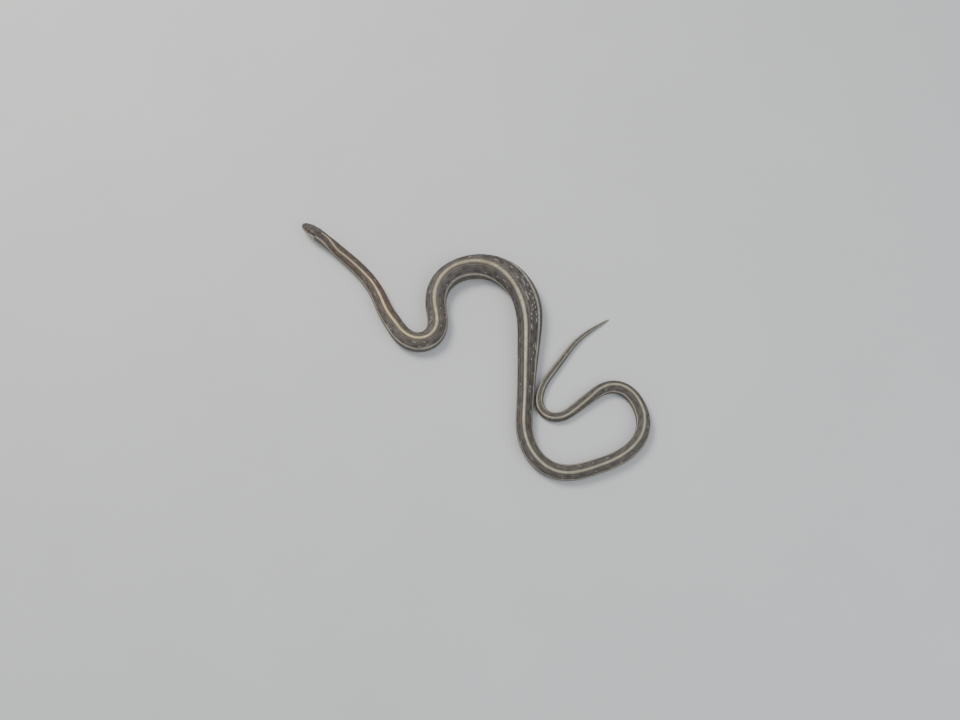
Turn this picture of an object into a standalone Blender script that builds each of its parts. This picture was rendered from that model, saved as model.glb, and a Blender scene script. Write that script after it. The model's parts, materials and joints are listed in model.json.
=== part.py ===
"""A garter snake, life size, lying in loose bends on a flat floor.

The whole animal is one loft along a line of named bends, from the tip of the snout to the tip of the
tail. Thin cuts across that loft part it into a head, a neck, eight lengths of torso and three of tail.
The belly's scutes are plates stepped into the loft. The head's shields and lip scales are plates raised
on it, and the mouth's line, the nostrils and the eyes' sockets are cut into it. The eyes are separate
balls. Metres, +Z up, the floor at z = 0, X and Y across the floor.
"""
import bpy
import bmesh
import numpy as np
from mathutils import Matrix, Vector
from mathutils.bvhtree import BVHTree

MM = 0.001

# Lengths along the back, from the tip of the snout
HEAD_END = 20.0 * MM
VENT = 490.0 * MM
LENGTH = 645.0 * MM
CUT = 0.3 * MM

# Where the snout lies and which way the back runs from it
SNOUT_X = -120.3 * MM
SNOUT_Y = 94.5 * MM
FIRST_HEADING = -37.6
# Each bend of the back: its middle and its length in millimetres, and its turn in degrees to the left
BENDS = {
    "nape": (24.2, 15.2, -4.7),
    "sway of the neck": (66.9, 49.3, -26.1),
    "start of the hairpin": (92.2, 17.4, 11.3),
    "first hairpin": (133.4, 55.6, 172.2),
    "rise to the arch": (169.4, 58.9, -66.0),
    "arch": (223.4, 122.3, -143.2),
    "run down": (354.8, 33.3, 28.8),
    "turn to the right": (385.5, 54.7, 83.0),
    "wide curve": (450.0, 73.5, 65.9),
    "end of the wide curve": (462.8, 47.3, 35.9),
    "turn at the vent": (497.2, 39.3, 98.3),
    "loop of the tail": (552.5, 40.4, -144.8),
    "end of the loop": (576.5, 20.4, -19.1),
    "hook of the tip": (619.3, 31.4, -20.5),
}
# The head and neck are carried a little off the floor, and come down to it along the neck
HEAD_LIFT = 2.5 * MM
LIFT_FROM = 22.0 * MM
LIFT_TO = 74.0 * MM
# The head is rolled to the animal's right, about a line at this level, and the neck takes the roll up
HEAD_ROLL = -33.0
ROLL_LEVEL = 3.3 * MM
ROLL_FROM = 20.0 * MM
ROLL_TO = 36.0 * MM

# Half the body's width at points along the back, in millimetres
HALF_WIDTHS = {
    20.0: 4.75, 27.0: 4.45, 44.0: 4.75, 74.0: 5.35, 114.0: 6.57, 132.0: 7.05, 157.0: 7.32, 202.0: 8.72,
    242.0: 9.55, 259.0: 9.5, 282.0: 8.3, 312.0: 6.62, 330.0: 6.0, 347.0: 5.8, 397.0: 5.45, 437.0: 5.03,
    490.0: 4.72, 517.0: 3.97, 557.0: 3.1, 594.0: 2.5, 619.0: 1.85, 635.0: 1.15, 642.0: 0.72, 645.0: 0.3,
}
# Height over width of the body, and where it lies spread and lower
ROUNDNESS = 0.88
SPREAD_ROUNDNESS = 0.76
SPREAD_MIDDLE = 252.0 * MM
SPREAD_REACH = 75.0 * MM
# The widest level of a section, as a share of its height, and how square its lower half is
WIDEST_LEVEL = 0.45
ROUND_POWER = 2.0
BELLY_POWER = 2.9
# What the belly's round is taken down by, so that a flat forms on the floor
BELLY_PRESS = 0.035
# Over this length behind the head the body's height takes over from the head's
NAPE = 12.0 * MM

# The head, tip to neck, in millimetres from the snout's tip:
# half width, top, underside, widest level, squareness of the upper and of the lower half
HEAD_SECTIONS = {
    0.10: (0.80, 3.70, 2.15, 2.90, 2.0, 2.0),
    0.45: (1.60, 4.45, 1.60, 2.90, 2.1, 2.0),
    1.20: (2.30, 5.05, 1.10, 2.85, 2.3, 2.1),
    2.50: (2.95, 5.55, 0.70, 2.85, 2.6, 2.2),
    4.20: (3.45, 6.00, 0.42, 2.90, 2.8, 2.3),
    6.50: (3.95, 6.60, 0.25, 3.00, 2.8, 2.4),
    9.00: (4.45, 7.00, 0.12, 3.10, 2.7, 2.5),
    12.5: (5.00, 7.25, 0.04, 3.20, 2.5, 2.6),
    16.0: (5.15, 7.35, 0.02, 3.25, 2.3, 2.7),
    20.0: (4.75, 7.40, 0.00, 3.30, 2.1, 2.8),
}
# Where the head's sections are cut, in millimetres, closer together at the snout
HEAD_STATIONS = (0.10, 0.45, 1.2, 2.0, 2.8, 3.6, 4.6, 5.6, 6.6, 7.6, 8.6, 10.0, 11.5, 13.0, 14.5, 16.0,
                 17.5, 18.8)
AROUND_HEAD = 24
SNOUT_TIP_LEVEL = 2.9 * MM
# The eye is an oblate ball that stands a little proud of the cheek, in a socket of its own shape
EYE_AT = (6.90, 4.35)
EYE_RADIUS = 1.55 * MM
EYE_DEPTH = 1.0 * MM
EYE_PROUD = 0.42 * MM
EYE_GAP = 0.3 * MM

# The lengths of the body, head first, by the number of belly scutes that each one carries
TRUNK_LENGTHS = {
    "neck": 9, "torso_1": 9, "torso_2": 9, "torso_3": 9, "torso_4": 9, "torso_5": 9, "torso_6": 10,
    "torso_7": 8, "torso_8": 8,
}
TAIL_LENGTHS = {"tail_1": 13, "tail_2": 13, "tail_3": 12}
# A scute wraps the belly from this angle round from the back, and its front lies this share of the
# half width deeper than the free edge of the scute before it, and comes level at this share of its length
SCUTE_EDGE = 115.0
SCUTE_STEP = 0.045
SCUTE_LEVEL = 0.4
# Points round a section, and how far the tail's tip stands past its last section
AROUND_TRUNK = 14
AROUND_TAIL = 12
TAIL_POINT = 0.5 * MM

# Corners of the shields on top of the head, in millimetres: back from the snout, and out from the middle
CROWN = {
    "a0": (1.00, 0.00), "a1": (1.35, 1.15), "a2": (2.10, 1.95), "b0": (2.65, 0.00), "b1": (2.75, 1.75),
    "c1": (3.90, 2.55), "c2": (4.90, 2.75), "d0": (5.00, 0.00), "d1": (5.15, 1.55), "e1": (6.80, 3.35),
    "e2": (8.60, 3.00), "f1": (8.70, 1.25), "f0": (9.90, 0.00), "g1": (9.05, 2.60), "h1": (11.0, 3.35),
    "h2": (14.0, 2.60), "h3": (15.6, 1.10), "h0": (15.3, 0.00),
}
CROWN_SHIELDS = {
    "internasal": "a0 a1 a2 b1 b0",
    "prefrontal": "b0 b1 c1 c2 d1 d0",
    "supraocular": "d1 c2 e1 e2 g1 f1",
    "parietal": "f0 f1 g1 h1 h2 h3 h0",
}
FRONTAL = "d0 d1 f1 f0"
# Corners of the shields on the head's side: back from the snout, and up from the chin
CHEEK_SHIELDS = {
    "nasal": ((0.80, 3.05), (1.30, 4.40), (2.40, 4.85), (3.05, 4.80), (3.00, 3.10)),
    "loreal": ((3.00, 3.10), (3.05, 4.80), (4.10, 4.95), (4.10, 3.20)),
    "preocular": ((4.10, 3.20), (4.10, 4.95), (4.90, 5.75), (5.45, 5.65), (5.00, 4.40), (5.20, 3.30)),
    "postocular_upper": ((8.85, 4.75), (8.45, 5.45), (9.10, 5.80), (9.60, 4.85)),
    "postocular_middle": ((8.85, 3.95), (8.85, 4.75), (9.60, 4.85), (9.60, 3.95)),
    "postocular_lower": ((8.45, 3.25), (8.85, 3.95), (9.60, 3.95), (9.80, 3.60)),
    "temporal_front": ((9.60, 3.95), (9.60, 4.85), (10.2, 5.70), (12.4, 5.75), (12.4, 4.45), (10.4, 3.90)),
    "temporal_upper": ((12.4, 5.05), (12.4, 5.75), (14.6, 5.75), (14.9, 5.05)),
    "temporal_lower": ((12.4, 4.30), (12.4, 5.05), (14.9, 5.05), (15.2, 4.30)),
}
# The front of the snout, out from the middle and up from the chin
ROSTRAL = ((-1.10, 2.25), (-1.25, 3.10), (-0.80, 4.10), (0.0, 4.40), (0.80, 4.10), (1.25, 3.10), (1.10, 2.25),
           (0.0, 2.40))
MENTAL = ((-0.90, 1.80), (0.0, 1.90), (0.90, 1.80), (0.65, 1.35), (0.0, 1.15), (-0.65, 1.35))
# The chin, seen from below: back from the snout, and out from the middle
CHIN_SHIELDS = {
    "chin_front": ((2.40, 0.10), (2.40, 1.10), (5.40, 1.50), (5.80, 0.10)),
    "chin_rear": ((5.80, 0.10), (5.40, 1.50), (9.50, 1.90), (9.90, 0.40)),
}
# The mouth's line, the top of the upper lip's scales and the foot of the lower lip's: up from the chin,
# at points back from the snout
MOUTH_LINE = {0.0: 2.05, 1.0: 1.95, 3.0: 1.80, 6.5: 1.70, 10.0: 1.85, 13.0: 2.30, 15.5: 2.75}
LIP_TOP = {0.8: 3.05, 3.0: 3.10, 5.2: 3.25, 8.4: 3.20, 9.8: 3.60, 12.4: 4.30, 14.8: 4.20}
UPPER_LIP_ENDS = (0.95, 2.0, 3.2, 4.6, 6.6, 8.5, 10.4, 12.6, 14.8)
LOWER_LIP_ENDS = (0.85, 1.9, 3.1, 4.5, 6.2, 8.2, 10.2, 12.2, 14.0)
LIP_FOOT = {0.85: 1.60, 1.9: 1.15, 3.0: 0.95, 6.5: 0.75, 10.0: 0.85, 14.0: 1.25}
LIP_CLEAR = 0.18
# The groove of the mouth: where it ends, where it turns round the snout, and how wide it is there
MOUTH_BACK = 15.2
MOUTH_FRONT = 0.9
MOUTH_TURN = 1.1
MOUTH_GROOVE = 0.17 * MM
NOSTRIL_AT = (1.95, 4.10)
NOSTRIL_RADIUS = 0.34 * MM
NOSTRIL_DEPTH = 0.60 * MM
# How far a head shield stands up, in its middle and at its edge, and how deep it is rooted
SHIELD_RAISE = 0.16 * MM
SHIELD_EDGE = 0.04 * MM
SHIELD_ROOT = 0.40 * MM
# In millimetres: the groove between two shields, the bevel of their edges, and their longest straight side
SHIELD_GROOVE = 0.16
SHIELD_BEVEL = 0.14
SHIELD_SIDE = 1.3


def smoothstep(value):
    """Zero to one, level at both ends."""
    value = np.clip(value, 0.0, 1.0)
    return value * value * (3.0 - 2.0 * value)


def through(table, at):
    """A smooth curve through the table's values, with no overshoot between them."""
    keys = np.array(list(table.keys()))
    values = np.array([np.atleast_1d(row) for row in table.values()], dtype=float)
    slopes = np.diff(values, axis=0) / np.diff(keys)[:, None]
    tangents = np.zeros_like(values)
    tangents[0] = slopes[0]
    tangents[-1] = slopes[-1]
    same_way = slopes[:-1] * slopes[1:] > 0.0
    total = np.where(same_way, slopes[:-1] + slopes[1:], 1.0)
    tangents[1:-1] = np.where(same_way, 2.0 * slopes[:-1] * slopes[1:] / total, 0.0)
    at = float(np.clip(at, keys[0], keys[-1]))
    i = int(np.clip(np.searchsorted(keys, at) - 1, 0, len(keys) - 2))
    step = keys[i + 1] - keys[i]
    t = (at - keys[i]) / step
    start = (1.0 + 2.0 * t) * (1.0 - t) ** 2 * values[i] + t * (1.0 - t) ** 2 * step * tangents[i]
    end = t * t * (3.0 - 2.0 * t) * values[i + 1] - t * t * (1.0 - t) * step * tangents[i + 1]
    return start + end


def heading_at(s):
    """The back's direction on the floor at a length s from the snout, in radians."""
    heading = FIRST_HEADING
    for middle, length, turn in BENDS.values():
        start = (middle - length / 2.0) * MM
        heading = heading + turn * smoothstep((s - start) / (length * MM))
    return np.radians(heading)


class Back:
    """The line of the back on the floor, sampled finely and read at any length."""

    def __init__(self, step=0.25 * MM):
        self.s = np.arange(0.0, LENGTH + step, step)
        middle = heading_at(self.s[:-1] + step / 2.0)
        self.x = SNOUT_X + np.concatenate([[0.0], np.cumsum(np.cos(middle) * step)])
        self.y = SNOUT_Y + np.concatenate([[0.0], np.cumsum(np.sin(middle) * step)])

    def frame(self, s):
        """The point, the direction towards the tail and the direction to the animal's left."""
        heading = float(heading_at(s))
        point = Vector((np.interp(s, self.s, self.x), np.interp(s, self.s, self.y), 0.0))
        along = Vector((np.cos(heading), np.sin(heading), 0.0))
        left = Vector((along.y, -along.x, 0.0))
        return point, along, left


BACK = Back()


def lift_at(s):
    return HEAD_LIFT * (1.0 - smoothstep((s - LIFT_FROM) / (LIFT_TO - LIFT_FROM)))


def across_at(s, left, side, height):
    """The step from the back's line to a place to its left and up, with the head's roll."""
    angle = np.radians(HEAD_ROLL) * (1.0 - smoothstep((s - ROLL_FROM) / (ROLL_TO - ROLL_FROM)))
    up = height - ROLL_LEVEL
    turned_side = side * np.cos(angle) + up * np.sin(angle)
    turned_up = up * np.cos(angle) - side * np.sin(angle) + ROLL_LEVEL
    return left * turned_side + Vector((0.0, 0.0, turned_up + lift_at(s)))


def section_at(s):
    """Half width, top, underside, widest level and the two powers of the section at s, in metres."""
    if s < HEAD_END:
        half, top, low, widest, upper, lower = through(HEAD_SECTIONS, s / MM)
        return half * MM, top * MM, low * MM, widest * MM, upper, lower
    half = float(through(HALF_WIDTHS, s / MM)[0]) * MM
    spread = np.exp(-((s - SPREAD_MIDDLE) / SPREAD_REACH) ** 2)
    roundness = ROUNDNESS + (SPREAD_ROUNDNESS - ROUNDNESS) * spread
    tall = 2.0 * half * roundness
    behind_head = smoothstep((s - HEAD_END) / NAPE)
    tall = HEAD_SECTIONS[HEAD_END / MM][1] * MM * (1.0 - behind_head) + tall * behind_head
    return half, tall, 0.0, WIDEST_LEVEL * tall, ROUND_POWER, BELLY_POWER


def section_point(section, angle):
    """Sideways and up, at an angle from the back (0) over the left flank to the belly (pi)."""
    half, top, low, widest, upper, lower = section
    across, up = np.sin(angle), np.cos(angle)
    power = upper if up > 0.0 else lower
    reach = top - widest if up > 0.0 else widest - low
    side = half * np.sign(across) * abs(across) ** (2.0 / power)
    height = widest + reach * np.sign(up) * abs(up) ** (2.0 / power)
    press = BELLY_PRESS * (top - low)
    return side, max(height - press, low)


def ring(s, around, stepped=0.0):
    """One section of the body from the back round by the left, its belly drawn in by a share stepped."""
    point, _, left = BACK.frame(s)
    section = section_at(s)
    half, widest = section[0], section[3]
    points = []
    for angle in np.arange(around) * 2.0 * np.pi / around:
        side, height = section_point(section, angle)
        if np.cos(angle) < np.cos(np.radians(SCUTE_EDGE)):
            reach = np.hypot(side, height - widest)
            side -= stepped * half * side / reach
            height -= stepped * half * (height - widest) / reach
        points.append(point + across_at(s, left, side, height))
    return points


def close_end(mesh, loop, tip):
    """A flat face over the loop, or a fan to the tip."""
    if tip is None:
        mesh.faces.new(loop)
        return
    point = mesh.verts.new(tip)
    for i, vert in enumerate(loop):
        mesh.faces.new((point, vert, loop[(i + 1) % len(loop)]))


def loft(rings, first_tip=None, last_tip=None):
    """A closed body through rings of equal count, with flat ends or points."""
    mesh = bmesh.new()
    loops = [[mesh.verts.new(p) for p in points] for points in rings]
    count = len(rings[0])
    for front, back in zip(loops, loops[1:]):
        for i in range(count):
            j = (i + 1) % count
            mesh.faces.new((front[i], back[i], back[j], front[j]))
    close_end(mesh, loops[0], first_tip)
    close_end(mesh, loops[-1], last_tip)
    bmesh.ops.recalc_face_normals(mesh, faces=mesh.faces)
    return mesh


def material(name, colour, roughness):
    made = bpy.data.materials.new(name)
    made.use_nodes = True
    shader = made.node_tree.nodes["Principled BSDF"]
    shader.inputs["Base Color"].default_value = (*colour, 1.0)
    shader.inputs["Roughness"].default_value = roughness
    shader.inputs["Metallic"].default_value = 0.0
    return made


def add_object(name, mesh, collection, finish):
    data = bpy.data.meshes.new(name)
    mesh.to_mesh(data)
    mesh.free()
    data.shade_smooth()
    data.set_sharp_from_angle(angle=np.radians(35.0))
    data.materials.append(finish)
    made = bpy.data.objects.new(name, data)
    collection.objects.link(made)
    return made


def make_length(name, start, pitch, scutes, around, collection, finish):
    """One length of neck, torso or tail: three sections a scute, and half of each thin cut taken off."""
    rings = []
    for i in range(scutes):
        front = start + i * pitch
        rings.append(ring(front + CUT / 2.0, around, SCUTE_STEP))
        rings.append(ring(front + pitch * SCUTE_LEVEL, around))
        rings.append(ring(front + pitch - CUT / 2.0, around))
    tip = None
    if start + scutes * pitch > LENGTH - CUT:
        point, along, _ = BACK.frame(LENGTH)
        tip = point + along * TAIL_POINT + Vector((0.0, 0.0, section_at(LENGTH)[3]))
    return add_object(name, loft(rings, last_tip=tip), collection, finish)


def on_head(along_head, sideways, up):
    """A point given in the head's own axes: back from the snout, to the left, up from the chin."""
    point, along, left = BACK.frame(0.0)
    return point + along * along_head + across_at(0.0, left, sideways, up)


def head_direction(along_head, sideways, up):
    return on_head(along_head, sideways, up) - on_head(0.0, 0.0, 0.0)


class HeadSurface:
    """Drops points given in millimetres in a view of the plain head onto its surface."""

    FAR = 30.0 * MM

    def __init__(self, mesh):
        self.tree = BVHTree.FromBMesh(mesh)

    def drop(self, first, second, view, side):
        """The point and the outward direction under a place in the view top, side, front or under.

        The place is back from the snout and out from the middle, or up from the chin in the side view.
        In the front view it is out from the middle and up from the chin.
        """
        first, second = first * MM, second * MM
        far = self.FAR
        if view == "top":
            start, way = on_head(first, side * second, far), head_direction(0.0, 0.0, -1.0)
        elif view == "under":
            start, way = on_head(first, side * second, -far), head_direction(0.0, 0.0, 1.0)
        elif view == "side":
            start, way = on_head(first, side * far, second), head_direction(0.0, -side, 0.0)
        else:
            start, way = on_head(-far, first, second), head_direction(1.0, 0.0, 0.0)
        point, normal, _, _ = self.tree.ray_cast(start, way)
        return point, normal


def inset(outline, amount):
    """The outline with each side moved inwards by the amount."""
    count = len(outline)
    area = sum(outline[i - 1][0] * outline[i][1] - outline[i][0] * outline[i - 1][1] for i in range(count))
    inwards = 1.0 if area > 0.0 else -1.0
    corners = []
    for i in range(count):
        before = Vector(outline[i]) - Vector(outline[i - 1])
        after = Vector(outline[(i + 1) % count]) - Vector(outline[i])
        first = Vector((-before.y, before.x)).normalized() * inwards
        second = Vector((-after.y, after.x)).normalized() * inwards
        middle = (first + second).normalized()
        corners.append(Vector(outline[i]) + middle * amount / max(0.5, middle.dot(first)))
    return corners


def with_long_sides_split(corners):
    """The corners, with points added so that no side is longer than a shield's side may be."""
    points = []
    for i, corner in enumerate(corners):
        after = corners[(i + 1) % len(corners)]
        pieces = max(1, int(np.ceil((after - corner).length / SHIELD_SIDE)))
        points += [corner.lerp(after, k / pieces) for k in range(pieces)]
    return points


def make_shield(name, outline, view, side, surface, collection):
    """A bevelled plate with this outline, standing on the head's surface and rooted in it."""
    edge = with_long_sides_split(inset(outline, SHIELD_GROOVE / 2.0))
    middle = sum(edge, Vector((0.0, 0.0))) / len(edge)
    rims = [(edge, SHIELD_EDGE)]
    bevelled = [p + (middle - p).normalized() * SHIELD_BEVEL for p in edge]
    rims.append((bevelled, SHIELD_RAISE))
    if max((p - middle).length for p in edge) > SHIELD_SIDE:
        rims.append(([p.lerp(middle, 0.5) for p in bevelled], SHIELD_RAISE))
    mesh = bmesh.new()
    loops = []
    for points, height in [(edge, -SHIELD_ROOT)] + rims:
        dropped = [surface.drop(p.x, p.y, view, side) for p in points]
        loops.append([mesh.verts.new(point + normal * height) for point, normal in dropped])
    for lower, upper in zip(loops, loops[1:]):
        for i in range(len(lower)):
            j = (i + 1) % len(lower)
            mesh.faces.new((lower[i], lower[j], upper[j]))
            mesh.faces.new((lower[i], upper[j], upper[i]))
    point, normal = surface.drop(middle.x, middle.y, view, side)
    close_end(mesh, loops[0], point - normal * SHIELD_ROOT)
    close_end(mesh, loops[-1], point + normal * SHIELD_RAISE)
    bmesh.ops.recalc_face_normals(mesh, faces=mesh.faces)
    data = bpy.data.meshes.new(name)
    mesh.to_mesh(data)
    mesh.free()
    collection.objects.link(bpy.data.objects.new(name, data))


def mirrored(outline):
    """The half outline given from the middle line outwards, and its mirror image, as one."""
    return list(outline) + [(along, -out) for along, out in reversed(outline) if out > 0.0]


def make_shields(surface, collection):
    make_shield("rostral", ROSTRAL, "front", 1.0, surface, collection)
    make_shield("mental", MENTAL, "front", 1.0, surface, collection)
    frontal = mirrored([CROWN[corner] for corner in FRONTAL.split()])
    make_shield("frontal", frontal, "top", 1.0, surface, collection)
    for side in (-1.0, 1.0):
        for name, corners in CROWN_SHIELDS.items():
            outline = [CROWN[corner] for corner in corners.split()]
            make_shield(name, outline, "top", side, surface, collection)
        for name, outline in CHEEK_SHIELDS.items():
            make_shield(name, outline, "side", side, surface, collection)
        for name, outline in CHIN_SHIELDS.items():
            make_shield(name, outline, "under", side, surface, collection)
        for front, back in zip(UPPER_LIP_ENDS, UPPER_LIP_ENDS[1:]):
            outline = lip_scale(front, back, MOUTH_LINE, LIP_CLEAR, LIP_TOP, 0.0)
            make_shield("upper_labial", outline, "side", side, surface, collection)
        for front, back in zip(LOWER_LIP_ENDS, LOWER_LIP_ENDS[1:]):
            outline = lip_scale(front, back, LIP_FOOT, 0.0, MOUTH_LINE, -LIP_CLEAR)
            make_shield("lower_labial", outline, "side", side, surface, collection)


def level(table, back):
    """The height above the chin that a table gives at a point back from the snout, in millimetres."""
    return float(through(table, back)[0])


def lip_scale(front, back, low, above_low, high, above_high):
    """The outline of one scale of a lip, between two levels."""
    feet = [(u, level(low, u) + above_low) for u in (front, back)]
    heads = [(u, level(high, u) + above_high) for u in (back, front)]
    return feet + heads


def make_mouth_cutter(surface, collection):
    """A thin tube along the line of the mouth, from one corner of the jaw round to the other."""
    sides = np.linspace(MOUTH_BACK, MOUTH_FRONT, 16)
    fronts = np.linspace(-MOUTH_TURN, MOUTH_TURN, 5)
    route = [surface.drop(u, level(MOUTH_LINE, u), "side", -1.0)[0] for u in sides]
    route += [surface.drop(x, level(MOUTH_LINE, 0.0), "front", 1.0)[0] for x in fronts]
    route += [surface.drop(u, level(MOUTH_LINE, u), "side", 1.0)[0] for u in reversed(sides)]
    curve = bpy.data.curves.new("mouth_line", "CURVE")
    curve.dimensions = "3D"
    curve.bevel_depth = MOUTH_GROOVE
    curve.bevel_resolution = 1
    curve.use_fill_caps = True
    spline = curve.splines.new("POLY")
    spline.points.add(len(route) - 1)
    for point, place in zip(spline.points, route):
        point.co = (*place, 1.0)
    tube = bpy.data.objects.new("mouth_line_curve", curve)
    bpy.context.scene.collection.objects.link(tube)
    data = bpy.data.meshes.new_from_object(tube.evaluated_get(bpy.context.evaluated_depsgraph_get()))
    bpy.data.objects.remove(tube, do_unlink=True)
    welded = bmesh.new()
    welded.from_mesh(data)
    bmesh.ops.remove_doubles(welded, verts=welded.verts, dist=0.01 * MM)
    welded.to_mesh(data)
    welded.free()
    collection.objects.link(bpy.data.objects.new("mouth_line", data))


def make_ball(name, radius, depth, place, axis, collection):
    """An oblate ball: its radius across the axis, and its depth along it."""
    bpy.ops.mesh.primitive_uv_sphere_add(segments=16, ring_count=10, radius=1.0)
    ball = bpy.context.object
    ball.name = name
    ball.data.name = name
    ball.data.transform(Matrix.Diagonal((radius, radius, depth, 1.0)))
    ball.location = place
    ball.rotation_euler = axis.to_track_quat("Z", "Y").to_euler()
    ball.data.shade_smooth()
    for home in list(ball.users_collection):
        home.objects.unlink(ball)
    collection.objects.link(ball)
    return ball


def eye_place(surface, side):
    """The middle of an eye and the way it looks."""
    point, normal = surface.drop(*EYE_AT, "side", side)
    return point + normal * (EYE_PROUD - EYE_DEPTH), normal


def keep_largest_surface(mesh):
    """Deletes every connected surface of the mesh but the one with most faces."""
    work = bmesh.new()
    work.from_mesh(mesh)
    left_over = set(work.faces)
    surfaces = []
    while left_over:
        reached = [left_over.pop()]
        for face in reached:
            around = {other for edge in face.edges for other in edge.link_faces} & left_over
            left_over -= around
            reached.extend(around)
        surfaces.append(reached)
    surfaces.sort(key=len)
    scraps = [face for surface in surfaces[:-1] for face in surface]
    bmesh.ops.delete(work, geom=scraps, context="FACES")
    work.to_mesh(mesh)
    work.free()


def combine(made, others, operation):
    """Joins the made object with a collection of closed meshes, or cuts them out of it."""
    step = made.modifiers.new(operation.lower(), "BOOLEAN")
    step.operation = operation
    step.operand_type = "COLLECTION"
    step.collection = others
    step.solver = "EXACT"
    data = bpy.data.meshes.new_from_object(made.evaluated_get(bpy.context.evaluated_depsgraph_get()))
    made.modifiers.clear()
    made.data = data
    keep_largest_surface(data)


def make_head(collection, cutters, finish):
    """The head with its shields raised on it, and its mouth, nostrils and sockets cut into it."""
    rings = [ring(u * MM, AROUND_HEAD) for u in HEAD_STATIONS]
    rings.append(ring(HEAD_END - CUT / 2.0, AROUND_HEAD))
    plain = loft(rings, first_tip=on_head(0.0, 0.0, SNOUT_TIP_LEVEL))
    surface = HeadSurface(plain)
    head = add_object("head", plain, collection, finish)

    shields = bpy.data.collections.new("shields")
    bpy.context.scene.collection.children.link(shields)
    make_shields(surface, shields)
    combine(head, shields, "UNION")
    for shield in list(shields.objects):
        bpy.data.objects.remove(shield, do_unlink=True)
    bpy.data.collections.remove(shields)

    make_mouth_cutter(surface, cutters)
    for name, side in (("left", 1.0), ("right", -1.0)):
        eye, looks = eye_place(surface, side)
        make_ball("socket_" + name, EYE_RADIUS + EYE_GAP, EYE_DEPTH + EYE_GAP, eye, looks, cutters)
        nostril, out = surface.drop(*NOSTRIL_AT, "side", side)
        make_ball("nostril_" + name, NOSTRIL_RADIUS, NOSTRIL_DEPTH, nostril, out, cutters)
    for cutter in cutters.objects:
        cutter.hide_render = True
        cutter.display_type = "WIRE"
    combine(head, cutters, "DIFFERENCE")
    head.data.shade_smooth()
    head.data.set_sharp_from_angle(angle=np.radians(35.0))
    return surface


def main():
    for old in list(bpy.data.objects):
        bpy.data.objects.remove(old, do_unlink=True)
    parts = bpy.data.collections.new("garter_snake")
    cutters = bpy.data.collections.new("cutters")
    bpy.context.scene.collection.children.link(parts)
    bpy.context.scene.collection.children.link(cutters)

    surface = make_head(parts, cutters, material("head_skin", (0.055, 0.048, 0.045), 0.42))
    for name, side in (("eye_left", 1.0), ("eye_right", -1.0)):
        eye = make_ball(name, EYE_RADIUS, EYE_DEPTH, *eye_place(surface, side), parts)
        eye.data.materials.append(material(name + "_ball", (0.10, 0.055, 0.02), 0.08))
    trunk_pitch = (VENT - HEAD_END) / sum(TRUNK_LENGTHS.values())
    tail_pitch = (LENGTH - VENT) / sum(TAIL_LENGTHS.values())
    start = HEAD_END
    for lengths, pitch, around in (
        (TRUNK_LENGTHS, trunk_pitch, AROUND_TRUNK),
        (TAIL_LENGTHS, tail_pitch, AROUND_TAIL),
    ):
        for name, scutes in lengths.items():
            finish = material(name + "_skin", (0.10, 0.085, 0.055), 0.5)
            make_length(name, start, pitch, scutes, around, parts, finish)
            start += scutes * pitch


main()
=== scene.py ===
"""The looks of a life-size garter snake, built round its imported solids.

One continuous skin stands for every length of flesh. Keeled scales, belly scutes and tail scutes are
joined meshes that lie over it. The head's shields, lips, mouth and nostrils are moved out of or into
the dense skin of the head. Lengths here are millimetres in the model's own frame, and become metres
when a mesh is made.
"""
import json

import bpy
import numpy as np
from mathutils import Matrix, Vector
from mathutils.bvhtree import BVHTree

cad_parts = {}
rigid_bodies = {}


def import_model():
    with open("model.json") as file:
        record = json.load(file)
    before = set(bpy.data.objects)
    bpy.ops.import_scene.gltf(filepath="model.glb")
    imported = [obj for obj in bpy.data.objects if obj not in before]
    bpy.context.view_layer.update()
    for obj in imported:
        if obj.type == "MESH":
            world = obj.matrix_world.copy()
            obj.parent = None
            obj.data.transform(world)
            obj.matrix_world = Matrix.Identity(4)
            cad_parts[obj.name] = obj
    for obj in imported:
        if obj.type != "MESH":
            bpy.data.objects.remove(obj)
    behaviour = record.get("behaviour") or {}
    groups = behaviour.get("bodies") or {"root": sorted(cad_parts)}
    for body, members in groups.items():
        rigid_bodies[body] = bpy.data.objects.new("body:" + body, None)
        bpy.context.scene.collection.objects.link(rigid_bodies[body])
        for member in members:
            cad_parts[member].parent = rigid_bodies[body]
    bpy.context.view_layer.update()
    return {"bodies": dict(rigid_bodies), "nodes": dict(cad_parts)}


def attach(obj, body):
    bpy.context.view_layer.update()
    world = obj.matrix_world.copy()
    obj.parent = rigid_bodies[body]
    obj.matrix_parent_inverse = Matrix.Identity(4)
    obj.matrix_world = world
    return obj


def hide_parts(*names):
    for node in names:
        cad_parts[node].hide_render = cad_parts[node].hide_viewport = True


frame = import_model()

MM = 0.001

# ---- The pose and the sections, as in the part's own source ----
HEAD_END = 20.0
VENT = 490.0
LENGTH = 645.0
SNOUT = (-120.3, 94.5)
FIRST_HEADING = -37.6
# Each bend's middle along the back, its length and its turn to the left, in degrees
BENDS = (
    (24.2, 15.2, -4.7), (66.9, 49.3, -26.1), (92.2, 17.4, 11.3), (133.4, 55.6, 172.2),
    (169.4, 58.9, -66), (223.4, 122.3, -143.2), (354.8, 33.3, 28.8), (385.5, 54.7, 83),
    (450, 73.5, 65.9), (462.8, 47.3, 35.9), (497.2, 39.3, 98.3), (552.5, 40.4, -144.8),
    (576.5, 20.4, -19.1), (619.3, 31.4, -20.5),
)
# The head lies lifted and rolled to its right, and the neck takes both up
HEAD_LIFT = 2.5
LIFT_FROM = 22.0
LIFT_TO = 74.0
HEAD_ROLL = -33.0
ROLL_LEVEL = 3.3
ROLL_FROM = 20.0
ROLL_TO = 36.0
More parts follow.
